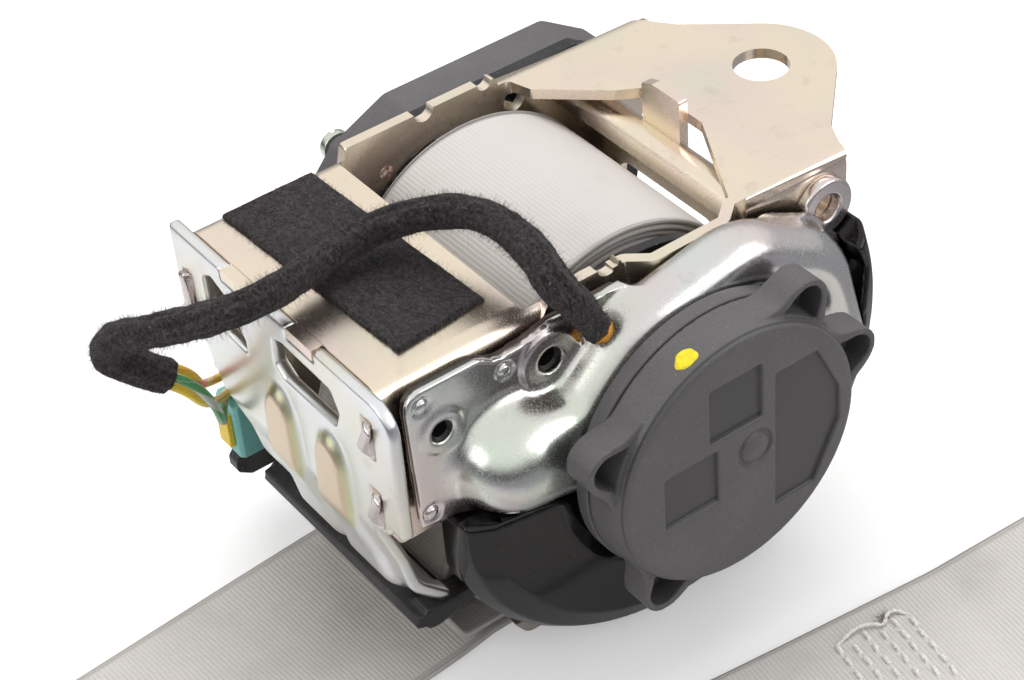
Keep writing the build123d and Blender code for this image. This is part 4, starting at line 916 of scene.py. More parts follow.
cheeks = np.maximum(to_outline(y, z, GUIDE_ENDS), beside_slot)
skin_piece("slot_guide", melted(lip, cheeks, 0.8), axes, satin_black, ["web_guide"])

# Spring cassette and far cover
# Dark grey mouldings with an eroded grain. The cap has hollow ears whose walls run into its own, bare
# recessed panels with a smoother floor that is also painted darker as shade in the recesses, a low knob, and
# an inspector's dab of yellow paint on its shoulder.
GREY = (0.095, 0.090, 0.094, 1)
PANEL_SHADE_GREY = (0.050, 0.048, 0.050, 1)
AXLE = (0.0, 55.5, -29.0)
CAP_BACK = 48.0
CAP_FACE = 56.5
CAP_RADIUS = 26.2
CAP_FLARE = 1.1
CAP_WALL = 1.6
EAR_REACH = 29.3
EAR_RADIUS = 4.4
EAR_TOP = 54.5
EAR_ANGLES = (55.0, 13.0, 158.0, -124.0)
EAR_WALL = 1.25
EAR_FLOOR = 1.2
EAR_BLEND = 7.0
EAR_OFF_WALL = 0.6
PANEL_DEEP = 0.75
PANELS = (
    [(38.2, -36.5), (50.0, -36.5), (50.0, -24.8), (38.2, -24.8)],
    [(48.5, -22.5), (60.2, -22.5), (60.2, -10.7), (48.5, -10.7)],
    [(63.3, -14.7), (72.7, -14.7), (78.0, -25.7), (78.3, -33.6), (72.2, -45.5), (63.3, -45.6)],
)
PANEL_NEAR = 0.00022
PANEL_GLOSS = 0.16
FACE_ROUND = 1.3
KNOB_Y = 58.5
KNOB_RADIUS = 3.1
KNOB_RISE = 1.2
KNOB_SUNK = 0.6
GROOVE_DEEP = 0.5
GROOVE_OFF = 0.35
GROOVE_HALF = 0.4
CAP_FINE = 0.42
cap_grey = moulded("cap_grey", GREY, 0.40, 0.16, 2400.0, 0.00005)
tree = cap_grey.node_tree
skin = tree.nodes["Principled BSDF"]
grain = skin.inputs["Base Color"].links[0].from_node.outputs
deep = put(tree, "SeparateXYZ", None, {0: put(tree, "TexCoord").outputs["Object"]}).outputs["X"]
off_floor = maths(tree, "ABSOLUTE", maths(tree, "SUBTRACT", deep, (CAP_FACE - PANEL_DEEP) * MM))
on_floor = maths(tree, "LESS_THAN", off_floor, PANEL_NEAR)
glossier = maths(tree, "SUBTRACT", grain["Roughness"], maths(tree, "MULTIPLY", on_floor, PANEL_GLOSS))
# Painted shade: the panel floors take a darker grey than the rest of the cap, besides their lower roughness
feed(skin, Base_Color=mixed(tree, on_floor, grain["Color"], PANEL_SHADE_GREY), Roughness=glossier)


def cap_wall(x):
    """Radius of the cap's wall, which flares a little towards the back."""
    return CAP_RADIUS + CAP_FLARE * (CAP_FACE - x) / (CAP_FACE - CAP_BACK)


axes, x, y, z = block((46.8, 58.0, 0.3), (20.5, 92.0, CAP_FINE), (-64.5, 5.5, CAP_FINE))
from_axle = np.hypot(y - AXLE[1], z - AXLE[2])
body_plan = from_axle - cap_wall(x)
body = np.hypot(np.maximum(body_plan + FACE_ROUND, 0), np.maximum(x - CAP_FACE + FACE_ROUND, 0)) - FACE_ROUND
body = np.maximum(body, np.maximum(body_plan, x - CAP_FACE))
ears_plan = np.full(from_axle.shape, np.inf)
for ear in EAR_ANGLES:
    ear_y = AXLE[1] + EAR_REACH * math.cos(math.radians(ear))
    ear_z = AXLE[2] + EAR_REACH * math.sin(math.radians(ear))
    ears_plan = np.minimum(ears_plan, np.hypot(y - ear_y, z - ear_z) - EAR_RADIUS)
both_plan = melted(ears_plan, from_axle - CAP_RADIUS - EAR_OFF_WALL, EAR_BLEND)
ears = np.maximum(np.where(from_axle > CAP_RADIUS - 1.0, both_plan, 1.0), x - EAR_TOP)
cavity = np.maximum(np.maximum(both_plan + EAR_WALL, 0.25 - body_plan), CAP_BACK + EAR_FLOOR - x)
field = np.minimum(body, np.where(both_plan < from_axle - CAP_RADIUS - 0.62, ears, 1.0))
field = np.maximum(field, -cavity)
field = np.maximum(field, CAP_BACK - x)
hollow = np.maximum(from_axle - CAP_RADIUS + CAP_WALL, x - CAP_FACE + CAP_WALL)
field = np.maximum(field, -hollow)
for panel in PANELS:
    field = np.maximum(field, -np.maximum(to_outline(y, z, panel), CAP_FACE - PANEL_DEEP - x))
from_knob = np.hypot(y - KNOB_Y, z - AXLE[2])
groove = np.abs(from_knob - KNOB_RADIUS - GROOVE_OFF) - GROOVE_HALF
field = np.maximum(field, -np.maximum(groove, CAP_FACE - GROOVE_DEEP - x))
knob = np.sqrt((from_knob / KNOB_RADIUS) ** 2 + ((x - CAP_FACE + KNOB_SUNK) / KNOB_RISE) ** 2) - 1.0
field = np.minimum(field, np.maximum(knob, CAP_FACE - CAP_WALL - x))
skin_piece("cassette_cap", field, axes, cap_grey, ["spring_cap"])
dress(cap_grey, "spring_base", "mechanism_cover", edge=0.35)

DAB_ANGLE = 110.0
DAB_AT = 53.0
DAB_RINGS = 9
DAB_SIDES = 26
DAB_HALF = (2.3, 1.7)
DAB_THICK = 0.14
paint, tree, skin = finish("dab_paint", Roughness=0.38)
where = put(tree, "TexCoord").outputs["Object"]
thin = spread(tree, noise(tree, where, 900.0, 3.0), 0.35, 0.75)
feed(skin, Base_Color=mixed(tree, thin, (0.86, 0.72, 0.01, 1), (0.74, 0.55, 0.005, 1)))
relief(skin, noise(tree, where, 1300.0, 3.0), 0.00008)
ring_share = np.linspace(0, 1, DAB_RINGS)[:, None]
turn = np.linspace(0, 2 * math.pi, DAB_SIDES, endpoint=False)
ragged = 1.0 + 0.06 * np.sin(3 * turn + 0.6) + 0.04 * np.sin(5 * turn + 2.0) + 0.02 * np.sin(9 * turn)
round_at = math.radians(DAB_ANGLE) + ring_share * ragged * np.cos(turn) * DAB_HALF[0] / CAP_RADIUS
dab_x = DAB_AT + ring_share * ragged * np.sin(turn) * DAB_HALF[1]
dab_rise = 0.05 + DAB_THICK * np.sqrt(np.clip(1.0 - ring_share ** 6, 0, 1)) - 0.09 * (ring_share > 0.99)
dab_radius = cap_wall(dab_x) + dab_rise
dab_y = AXLE[1] + dab_radius * np.cos(round_at)
dab = np.stack([dab_x, dab_y, AXLE[2] + dab_radius * np.sin(round_at)], axis=-1)
piece_of("paint_dab", placed(dab), grid_faces(DAB_RINGS, DAB_SIDES, closed=True), paint)

# Pretensioner housing
# Two pressed sheets of zinc plated steel, riveted together round the ball tube; the back one is a darkened
# copy of the front one's bright zinc, as painted shade. Black tubes in the two punched holes are painted
# shade too.
SHEET_OUTLINE = [
    (3.0, -29.6), (2.2, -4.0), (2.6, -1.9), (3.6, -0.5), (5.4, 0.2), (17.0, 0.2),
    (18.6, -0.4), (20.2, -1.5), (22.0, -1.9), (26.5, -1.5), (33, 0.2), (47.5, 0.2), (49.5, -11.5),
    (79, -11.5), (81.0, -3.5), (90.6, -7.1), (96.8, -14), (99.6, -21), (97.5, -30), (94, -37), (85, -37),
    (83, -26.5), (34, -26.5), (34, -43), (31.2, -42.8), (24.9, -37.6), (18.8, -32.8), (14.6, -31.1),
]
SHEET_BACK = 33.35
SHEET_FRONT = 34.65
TUBE_X = 38.2
TUBE_RADIUS = 6.2
TUBE_ROUTE = [(18, -21.5), (34, -19), (48, -7), (70, -2.6), (87.5, -12.5), (92.5, -33)]
NECK_ROUTE = [(21.5, -23.5), (31, -27), (40, -30)]
NECK_RADIUS = 7.6
BULB = (33.75, 21.5, -22.0)
BULB_RADIUS = 10.5
MELT = 4.5
PUNCHED = ((8.7, -10.4, 2.2, 0.0, 0.8), (31.2, -7.1, 2.5, 0.7, 1.5))
RIVETS = ((5.4, -3.2), (22.3, -4.9), (5.0, -27.0), (16.6, -29.4))
RIVET_RADIUS = 1.2
NECK_IN = 1.5
COLLAR_BLEND = 1.6
RIVET_RISE = 0.45
RIVET_GROOVE = (0.3, 0.35)
HOOP_Y = 64.0
HOOP_HALF = 15.0
HOOP_LOW = -10.0
HOOP_IN = 34.2
BACK_INSET = 0.3
BACK_FINE = (0.3, 0.5)
bright_zinc = plated("bright_zinc", (0.74, 0.76, 0.75, 1), (0.80, 0.66, 0.67, 1), (0.66, 0.77, 0.64, 1),
                     0.6, 0.15, 0.15)
# Painted shade: a darkened copy of the bright zinc, for the back sheet that lies in shade behind the front
# one
shaded_zinc = plated("shaded_zinc", (0.10, 0.09, 0.085, 1), (0.16, 0.12, 0.11, 1), (0.08, 0.09, 0.08, 1),
                     0.6, 0.35, 0.4)


def tube_fields(x, y, z):
    """Distance fields of the ball tube, of the neck that runs from it to the bulb, and of the bulb."""
    tube = np.hypot(to_line(y, z, bent(TUBE_ROUTE, 13.0, 1.5)), x - TUBE_X) - TUBE_RADIUS
    neck = np.hypot(to_line(y, z, bent(NECK_ROUTE, 20.0, 1.5)), x - TUBE_X + NECK_IN) - NECK_RADIUS
    bulb = np.sqrt((x - BULB[0]) ** 2 + (y - BULB[1]) ** 2 + (z - BULB[2]) ** 2) - BULB_RADIUS
    return tube, neck, bulb


axes, x, y, z = block((31.0, 46.6, FINE), (0.5, 102.0, FINE), (-45.5, 6.0, FINE))
outline = to_outline(y, z, SHEET_OUTLINE)
tube, neck, bulb = tube_fields(x, y, z)
field = melted(np.maximum(outline, between(x, SHEET_BACK, SHEET_FRONT)), tube, MELT)
field = melted(melted(field, bulb, MELT), neck, MELT)
for hole_y, hole_z, hole_radius, collar_rise, collar_half in PUNCHED:
    from_hole = np.hypot(y - hole_y, z - hole_z)
    collar = np.abs(from_hole - hole_radius - collar_half) - collar_half
    collar = np.maximum(collar, x - SHEET_FRONT - collar_rise)
    field = melted(field, np.maximum(collar, SHEET_BACK - x), COLLAR_BLEND)
    field = np.maximum(field, hole_radius - from_hole)
for rivet_y, rivet_z in RIVETS:
    from_rivet = np.hypot(y - rivet_y, z - rivet_z)
    dome = np.maximum(from_rivet - RIVET_RADIUS, x - SHEET_FRONT - RIVET_RISE + 0.1 * from_rivet ** 2)
    groove = np.abs(from_rivet - RIVET_RADIUS - RIVET_GROOVE[0]) - RIVET_GROOVE[0]
    groove = np.maximum(groove, SHEET_FRONT - RIVET_GROOVE[1] - x)
    field = np.minimum(np.maximum(field, -groove), np.maximum(dome, SHEET_BACK - x))
field = np.maximum(field, np.minimum(SHEET_BACK - x, 0.5 - outline))
hoop_gap = np.maximum(np.abs(y - HOOP_Y) - HOOP_HALF, HOOP_LOW - z)
field = np.maximum(field, -np.maximum(hoop_gap, x - HOOP_IN))
skin_piece("housing_sheet", field, axes, bright_zinc,
           ["pretensioner_housing", "housing_rivets"])
dress(bright_zinc, "lug_collar", "lock_ring", "cover_screws")

low, high = (np.asarray(corner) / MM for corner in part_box("pretensioner_back_plate"))
axes, x, y, z = block((low[0] - 0.8, high[0] + 1.0, BACK_FINE[0]), (0.5, 102.0, BACK_FINE[1]),
                      (-45.5, 3.0, BACK_FINE[1]))
field = np.maximum(to_outline(y, z, SHEET_OUTLINE) + BACK_INSET, between(x, low[0], high[0]))
for hole_y, hole_z, hole_radius, _, _ in PUNCHED:
    field = np.maximum(field, hole_radius + BACK_INSET - np.hypot(y - hole_y, z - hole_z))
field = np.maximum(field, -np.maximum(np.abs(y - HOOP_Y) - HOOP_HALF, HOOP_LOW - z))
skin_piece("back_sheet", field, axes, shaded_zinc, ["pretensioner_back_plate"])

# Painted shade: black tubes inside the two punched holes stand for the dark of the holes' depth, not for a
# real part
HOLE_SIDES = 40
SHADE_TUBE_STEPS = np.array([33.9, 33.9, 29.6, 29.6, 33.9])
SHADE_TUBE_INSET = np.array([0.55, 0.0, 0.0, 0.55, 0.55])
turn = np.linspace(0, 2 * math.pi, HOLE_SIDES, endpoint=False)
for number, (hole_y, hole_z, hole_radius, _, _) in enumerate(PUNCHED):
    shade_tube_radius = hole_radius - SHADE_TUBE_INSET[:, None]
    shade_tube_y = hole_y + shade_tube_radius * np.cos(turn)
    shade_tube_z = hole_z + shade_tube_radius * np.sin(turn)
    shade_tube = np.stack([np.broadcast_to(SHADE_TUBE_STEPS[:, None], shade_tube_y.shape), shade_tube_y, shade_tube_z], axis=-1)
    piece_of("hole_shade_%d" % number, placed(shade_tube), grid_faces(len(shade_tube), HOLE_SIDES, closed=True),
             satin_black, smooth=False)

# Catcher drum
# A round moulding in glossy black plastic round the drive wheel. It takes the balls when they are fired, and
# is cut away where the steel housing and the cassette sit.
DRUM_OUTSIDE = [(14, 43), (30, 43), (42.5, 41), (47, 38.5), (49, 35.5), (49, 30.8), (14, 30.8)]
DRUM_INSIDE = [(8, 41.7), (30, 41.7), (42, 39.7), (45.9, 37.5), (47.7, 35.1), (47.7, 32), (8, 32)]
DRUM_WALL = 1.3
DRUM_GAP = 0.4
DRUM_FINE = 0.5
DRUM_TOP = -11.9
DRUM_NEAR = 8.5
DRUM_BACK = 31.8
DRUM_BLEND = 1.2
LOW_EDGE = -30.6
LOW_EDGE_IN = 1.5
LUG_ROOM = (96.3, -9.2, 6.4)
CAP_ROOM = (29.0, 2.8, 44.85)
SEAT_RADIUS = 17.0
SEAT_HALF = 3.0
SEAT_AT = (42.5, 44.9)
REACH_STEP = 0.25
drum_black = moulded("drum_black", (0.004, 0.004, 0.005, 1), 0.07, 0.05, 260.0, 0.00002, IOR=1.45)
axes, x, y, z = block((29.8, 46.4, DRUM_FINE), (6.5, 106.6, DRUM_FINE), (-79.2, -9.9, DRUM_FINE))
reach_axis = np.arange(0, 60.0, REACH_STEP)
outside = to_outline(reach_axis[:, None], axes[0][None, :], DRUM_OUTSIDE) - 0.3
inside = to_outline(reach_axis[:, None], axes[0][None, :], DRUM_INSIDE)
from_axle = np.hypot(y - AXLE[1], z - AXLE[2])
place = np.clip(from_axle / REACH_STEP, 0, len(reach_axis) - 1.01)
whole = place.astype(int)
share = place - whole
rows_x = np.arange(len(axes[0]))[:, None, None]
drum = outside[whole, rows_x] * (1 - share) + outside[whole + 1, rows_x] * share
room = inside[whole, rows_x] * (1 - share) + inside[whole + 1, rows_x] * share
seat = np.maximum(np.abs(from_axle - SEAT_RADIUS) - SEAT_HALF, between(x, *SEAT_AT))
low_edge = np.minimum(LOW_EDGE - z, x - SHEET_FRONT - LOW_EDGE_IN)
over_sheet = np.maximum(np.maximum(to_outline(y, z, SHEET_OUTLINE) - DRUM_GAP, low_edge), DRUM_BACK - x)
cap_room = box_field(y, z, AXLE[1] - CAP_ROOM[0], AXLE[1] + CAP_ROOM[0], AXLE[2] + CAP_ROOM[1], 20.0)
cap_room = np.maximum(cap_room, np.maximum(DRUM_BACK - x, x - CAP_ROOM[2]))
lug_room = np.hypot(y - LUG_ROOM[0], z - LUG_ROOM[1]) - LUG_ROOM[2]
cuts = np.minimum(over_sheet, np.minimum(DRUM_TOP - z, y - DRUM_NEAR))
cuts = np.minimum(cuts, np.minimum(lug_room, cap_room))
for part in tube_fields(x, y, z):
    cuts = np.minimum(cuts, part - DRUM_GAP)
field = -melted(-drum, cuts, DRUM_BLEND)
field = np.maximum(field, -np.maximum(room, DRUM_WALL - cuts))
skin_piece("catcher_drum", np.minimum(field, seat), axes, drum_black, ["ball_catcher"])

# Inner pieces
# What the covers hide: a cast spool and locking head, a steel bar, spring and balls, and natural white
# plastic parts. The two mouldings of the connector, which lie outside, are dressed here too.
cast = plated("cast_alloy", (0.62, 0.62, 0.62, 1), (0.58, 0.56, 0.54, 1), (0.60, 0.62, 0.64, 1),
              0.5, 0.32, 0.3, 0.00005)
ground_steel = plated("ground_steel", (0.72, 0.72, 0.73, 1), (0.70, 0.68, 0.66, 1), (0.68, 0.70, 0.74, 1),
                      0.4, 0.05, 0.1)
dark_steel = plated("dark_steel", (0.36, 0.36, 0.38, 1), (0.34, 0.32, 0.30, 1), (0.32, 0.34, 0.38, 1),
                    0.5, 0.22, 0.3)
natural = moulded("natural_plastic", (0.70, 0.68, 0.60, 1), 0.35, 0.1, 1500.0, 0.00003)
teal = moulded("teal_plastic", (0.17, 0.45, 0.42, 1), 0.33, 0.1, 1500.0, 0.00003)
yellow = moulded("yellow_plastic", (0.80, 0.56, 0.04, 1), 0.33, 0.1, 1500.0, 0.00003)
dress(cast, "spool", "tread_head", "drive_sprocket", edge=0.15)
dress(ground_steel, "sensor_ball", "drive_balls", "tube_balls", edge=0)
dress(dark_steel, "torsion_bar", "rewind_spring", "locking_pawl", edge=0.1)
dress(bright_zinc, "gas_generator")
dress(natural, "control_disc", "sensor_lever", "spring_arbor", edge=0.15)
dress(teal, "connector_body")
dress(yellow, "connector_lock")

# Belt wound on the spool
# About sixteen turns of 46 mm polyester webbing. Each turn is its own ridge in the two side faces, a little
# further in or out than the next, and the outer face has the weave's fine crosswise ribs.
ROLL_RADIUS = 29.0
CORE_RADIUS = 10.2
BELT_HALF = 23.0
BELT_THICKNESS = 1.2
ROLL_STEPS = 300
TURN_WANDER = 0.35
FACE_BULGE = 0.12
FACE_SKEW = 0.18
FACE_ROUND_OFF = 0.35
RIB_PITCH = 0.88
YARN_PITCH = 0.62
SELVEDGE = 1.5
WEBBING = (0.66, 0.63, 0.60, 1)
WEBBING_DARK = (0.20, 0.18, 0.165, 1)


def woven(name, light, dark, rib_depth):
    """Belt weave from a map in metres: crosswise ribs, twilled yarns, plain cords at both selvedges, soil,
    and painted shade that darkens the weave's hollows.
    """
    material, tree, skin = finish(name, Roughness=0.62, Specular_IOR_Level=0.35, Sheen_Weight=0.25,
                                  Sheen_Roughness=0.4)
    flat = put(tree, "SeparateXYZ", None, {0: put(tree, "UVMap", {"uv_map": "flat"}).outputs[0]}).outputs
    where = put(tree, "TexCoord").outputs["Object"]
    wander = maths(tree, "MULTIPLY", noise(tree, where, 160.0, 2.0), 0.0006)
    along = maths(tree, "ADD", flat["Y"], wander)
    rib_turn = maths(tree, "MULTIPLY", along, math.pi / (RIB_PITCH * MM))
    rib = maths(tree, "ABSOLUTE", maths(tree, "SINE", rib_turn))
    slant = maths(tree, "ADD", maths(tree, "MULTIPLY", flat["X"], 2 * math.pi / (YARN_PITCH * MM)), rib_turn)
    yarn = maths(tree, "ABSOLUTE", maths(tree, "SINE", maths(tree, "MULTIPLY", slant, 0.5)))
    edge = maths(tree, "ABSOLUTE", maths(tree, "SUBTRACT", flat["X"], BELT_HALF * MM))
    at_edge = spread(tree, edge, (BELT_HALF - SELVEDGE) * MM, (BELT_HALF - SELVEDGE + 0.3) * MM)
    cord = maths(tree, "ABSOLUTE", maths(tree, "SINE", maths(tree, "MULTIPLY", edge, math.pi / 0.0006)))
    weave = maths(tree, "ADD", maths(tree, "MULTIPLY", rib, 0.65), maths(tree, "MULTIPLY", yarn, 0.35))
    height = put(tree, "Mix", None, {0: at_edge, 2: weave, 3: cord}).outputs[0]
    blotches = maths(tree, "MULTIPLY", noise(tree, where, 90.0, 4.0), 0.5)
    # Painted shade: the colour follows the weave's height, darker in its hollows than on its crests, with
    # random blotches added
    tone = maths(tree, "ADD", maths(tree, "MULTIPLY", height, 0.75), blotches)
    colour = mixed(tree, spread(tree, tone, 0.15, 0.85), dark, light)
    soil = spread(tree, noise(tree, where, 45.0, 3.0), 0.5, 0.8, 0.0, 0.22)
    colour = mixed(tree, soil, colour, WEBBING_DARK)
    feed(skin, Base_Color=mixed(tree, maths(tree, "MULTIPLY", at_edge, 0.25), colour, WEBBING_DARK))
    relief(skin, height, rib_depth)
    return material


belt_weave = woven("belt_weave", WEBBING, (0.52, 0.49, 0.46, 1), 0.00013)
# Painted shade: the roll takes a darker copy of the free belt's weave, which tones down the lamp light on its
# top; its ribs are shallower too
roll_weave_shaded = woven("roll_weave_shaded", (0.60, 0.565, 0.54, 1), (0.53, 0.497, 0.47, 1), 0.00006)
turns = int((ROLL_RADIUS - CORE_RADIUS) / BELT_THICKNESS)
angle = np.linspace(0, 2 * math.pi, ROLL_STEPS, endpoint=False)
layer_thick = (ROLL_RADIUS - CORE_RADIUS) / turns
rims = {-1: [], 1: []}
for side_sign in rims:
    for layer in range(turns):
        inner = CORE_RADIUS + layer * layer_thick
        outer = inner + layer_thick
        wander = rng.uniform(-1, 0.6) + 0.5 * wavy(ROLL_STEPS, 9, 100 + layer)
        reach = BELT_HALF - 0.25 + TURN_WANDER * wander
        ridge = ((inner + 0.08, 0.55), (inner + 0.25, 0.1), (outer - 0.25, 0.1), (outer - 0.08, 0.5))
        for radius_at, back in ridge:
            rims[side_sign].append((side_sign * (reach - back), np.full(ROLL_STEPS, radius_at)))
outer_face = []
bulge_at = FACE_BULGE * wavy(ROLL_STEPS, 7, 60)
for place in np.linspace(-1, 1, 47):
    lift = FACE_SKEW * wavy(ROLL_STEPS, 6, 61) * place ** 3 + bulge_at - FACE_ROUND_OFF * abs(place) ** 14
    outer_face.append((np.full(ROLL_STEPS, place * (BELT_HALF - 0.3)), ROLL_RADIUS - 0.15 + lift))
rows = rims[-1] + outer_face + rims[1][::-1]
wound = np.zeros((len(rows), ROLL_STEPS, 3))
for row, (across, radius_at) in enumerate(rows):
    wound[row, :, 0] = across
    wound[row, :, 1] = AXLE[1] + radius_at * np.cos(angle)
    wound[row, :, 2] = AXLE[2] + radius_at * np.sin(angle)
across_map = np.clip(wound[:, :, 0] + BELT_HALF, 0, 2 * BELT_HALF) * MM
flat_map = np.stack([across_map, np.broadcast_to(angle * ROLL_RADIUS * MM, across_map.shape)], axis=-1)
seam = np.concatenate([wound, wound[:, :1]], axis=1)
seam_map = np.concatenate([flat_map, flat_map[:, :1] + (0, 2 * math.pi * ROLL_RADIUS * MM)], axis=1)
piece_of("belt_roll", placed(seam), grid_faces(len(rows), ROLL_STEPS + 1), roll_weave_shaded,
         ["webbing_roll"], body="spool_body", flat_map=seam_map)

# Free belt
# One length of webbing: down from the roll, through the slot, under the guide bar and folded back, along the
# ground under the retractor, turned over twice at 45 degrees, and back beside it to a hump and a sewn end.
BELT_LOW = GROUND_Z + BELT_THICKNESS / 2
BELT_SECOND = BELT_LOW + BELT_THICKNESS
RUN_LOW = -74.75
FOLD_Y = 28.0
DRIFT = math.radians(4.2)
LEAN = math.radians(6.8)
TURN_Y = -85.0
LAY_Y = 22.0
DRIFT_EASE = 40.0
STRIP_X = 83.0
STRIP_AT = 44.4
LOOP_Y = 95.0
LOOP_LOW_SIDE = 0.3
BELT_STEP = 0.8
BELT_ACROSS = 1.0
FOLD_ROUND = 0.63
CROSS_FROM = 0.4
HUMP_RISE = 1.6
RIPPLE = 0.10
EDGE_WAVE = 0.14
RUN_ROUTE = [
    (27.4, -18.3), (12.9, -57.4), (11.9, -67.0), (15.6, RUN_LOW), (FOLD_Y, RUN_LOW), (FOLD_Y, BELT_LOW),
    (LAY_Y, BELT_LOW),
]
LOOP_ROUTE = [
    (LOOP_Y, BELT_LOW), (150.0, BELT_LOW), (150.0, -66.0), (120.0, -66.0), (91.0, BELT_SECOND),
    (40.0, BELT_SECOND),
]


def evenly(line, step):
    """Close points of a 2-D line at even distances, and the line's length."""
    walked = np.concatenate([[0.0], np.cumsum(np.linalg.norm(np.diff(line, axis=0), axis=1))])
    at = np.linspace(0, walked[-1], int(walked[-1] / step) + 1)
    return np.stack([np.interp(at, walked, line[:, axis]) for axis in range(2)], axis=1), walked[-1]


def folded(points, middle, heading, chosen, up_sign):
    """Turns over the chosen points that lie past a fold line through middle. Past the line by q the belt
    climbs a half circle of radius FOLD_ROUND, then runs back mirrored, two radii higher or lower."""
    normal = np.array([heading[1], -heading[0]])
    past = (points[:, 0] - middle[0]) * normal[0] + (points[:, 1] - middle[1]) * normal[1]
    arc = math.pi * FOLD_ROUND
    turned = chosen & (past > 0)
    bend = np.clip(past / FOLD_ROUND, 0, math.pi)
    across_line = np.where(past < arc, FOLD_ROUND * np.sin(bend), -(past - arc))
    lift = np.where(past < arc, FOLD_ROUND * (1 - np.cos(bend)), 2 * FOLD_ROUND)
    shift = np.where(turned, across_line - past, 0)
    moved = points.copy()
    moved[:, 0] += normal[0] * shift
    moved[:, 1] += normal[1] * shift
    moved[:, 2] += np.where(turned, up_sign * lift, 0)
    return moved, turned


r_fold = (RUN_LOW - BELT_LOW) / 2 - 0.01
side_line, run_length = evenly(bent(RUN_ROUTE, [4, 3, 2.5, r_fold, r_fold], 0.3), BELT_STEP)
loop_line, loop_length = evenly(bent(LOOP_ROUTE, [5, 5, 16, 16], 0.3), BELT_STEP)
first_x = CROSS_FROM + (LAY_Y - TURN_Y) * math.tan(DRIFT)
second_x = STRIP_X + (TURN_Y - STRIP_AT) * math.tan(LEAN)
in_folds = 2 * math.pi * FOLD_ROUND / math.sqrt(2)
ground_length = ((LAY_Y - TURN_Y) / math.cos(DRIFT) + (second_x - first_x)
                 + (LOOP_Y - TURN_Y) / math.cos(LEAN) + in_folds)
wide = np.linspace(-BELT_HALF, BELT_HALF, int(2 * BELT_HALF / BELT_ACROSS) + 1)
run_v = np.linspace(0, run_length, len(side_line))
loop_v = np.linspace(0, loop_length, len(loop_line))
ground_v = run_length + np.arange(BELT_STEP, ground_length, BELT_STEP)
all_v = np.concatenate([run_v, ground_v, run_length + ground_length + loop_v])
V, U = np.meshgrid(all_v, wide, indexing="ij")
edge_wave = EDGE_WAVE * np.sin(V / 17.0 + 1.3 * np.sign(U)) * (np.abs(U) > BELT_HALF - 0.6)
flat_u = (U + edge_wave).ravel()
flat_v = V.ravel()
beyond = flat_v - run_length
turning = DRIFT * np.clip(beyond / DRIFT_EASE, 0, 1)
on_run = beyond <= 0
ground_x = CROSS_FROM * np.clip(beyond / 8, 0, 1) + flat_u * np.cos(turning) + beyond.clip(0) * np.sin(DRIFT)
ground_y = LAY_Y - beyond * math.cos(DRIFT) + flat_u * np.sin(turning)
belt = np.stack([np.where(on_run, flat_u, ground_x),
                 np.where(on_run, np.interp(flat_v, run_v, side_line[:, 0]), ground_y),
                 np.where(on_run, np.interp(flat_v, run_v, side_line[:, 1]), BELT_LOW)], axis=1)
half_turn = (math.pi / 2 - DRIFT) / 2
belt, on_cross = folded(belt, (first_x, TURN_Y), (math.cos(half_turn), -math.sin(half_turn)), beyond > 0, 1.0)
half_turn = (math.pi / 2 - LEAN) / 2
belt, on_strip = folded(belt, (second_x, TURN_Y), (math.cos(half_turn), math.sin(half_turn)),
                        on_cross & (beyond > 120), -1.0)
heading = np.array([math.sin(LEAN), math.cos(LEAN)])
loop_x = STRIP_X + (LOOP_Y - STRIP_AT) * math.tan(LEAN)
ahead = (belt[:, 0] - loop_x) * heading[0] + (belt[:, 1] - LOOP_Y) * heading[1]
in_loop = on_strip & (ahead > 0)
loop_y = np.interp(ahead, loop_v, loop_line[:, 0]) - LOOP_Y
loop_z = np.interp(ahead, loop_v, loop_line[:, 1])
for axis in range(2):
    belt[:, axis] += np.where(in_loop, heading[axis] * (loop_y - ahead), 0)
off_middle = (belt[:, 0] - loop_x) * heading[1] - (belt[:, 1] - LOOP_Y) * heading[0]
roll_over = LOOP_LOW_SIDE + (1 - LOOP_LOW_SIDE) * eased((off_middle + BELT_HALF) / (2 * BELT_HALF))
loop_z = np.where(loop_z > BELT_SECOND, BELT_SECOND + (loop_z - BELT_SECOND) * roll_over, loop_z)
belt[:, 2] = np.where(in_loop, loop_z, belt[:, 2])
ripple = RIPPLE * np.sin(flat_v / 11.0 + flat_u / 9.0) * np.sin(flat_v / 37.0)
hump = np.clip((ahead - 8) / 40, 0, 1) * np.clip((loop_length - 75 - ahead) / 30, 0, 1) * in_loop
belt[:, 2] += hump * (HUMP_RISE * np.sin(ahead / 26.0 + flat_u / 14.0) + ripple)
free_belt = piece_of(
    "free_belt", placed(belt), grid_faces(*V.shape), belt_weave,
    ["webbing_run", "webbing_fold", "webbing_floor", "webbing_cross", "webbing_strip", "webbing_end"],
    flat_map=np.stack([(U + BELT_HALF) * MM, V * MM], axis=-1))
thick = free_belt.modifiers.new("thick", "SOLIDIFY")
thick.thickness = (BELT_THICKNESS - 0.06) * MM
thick.offset = 0

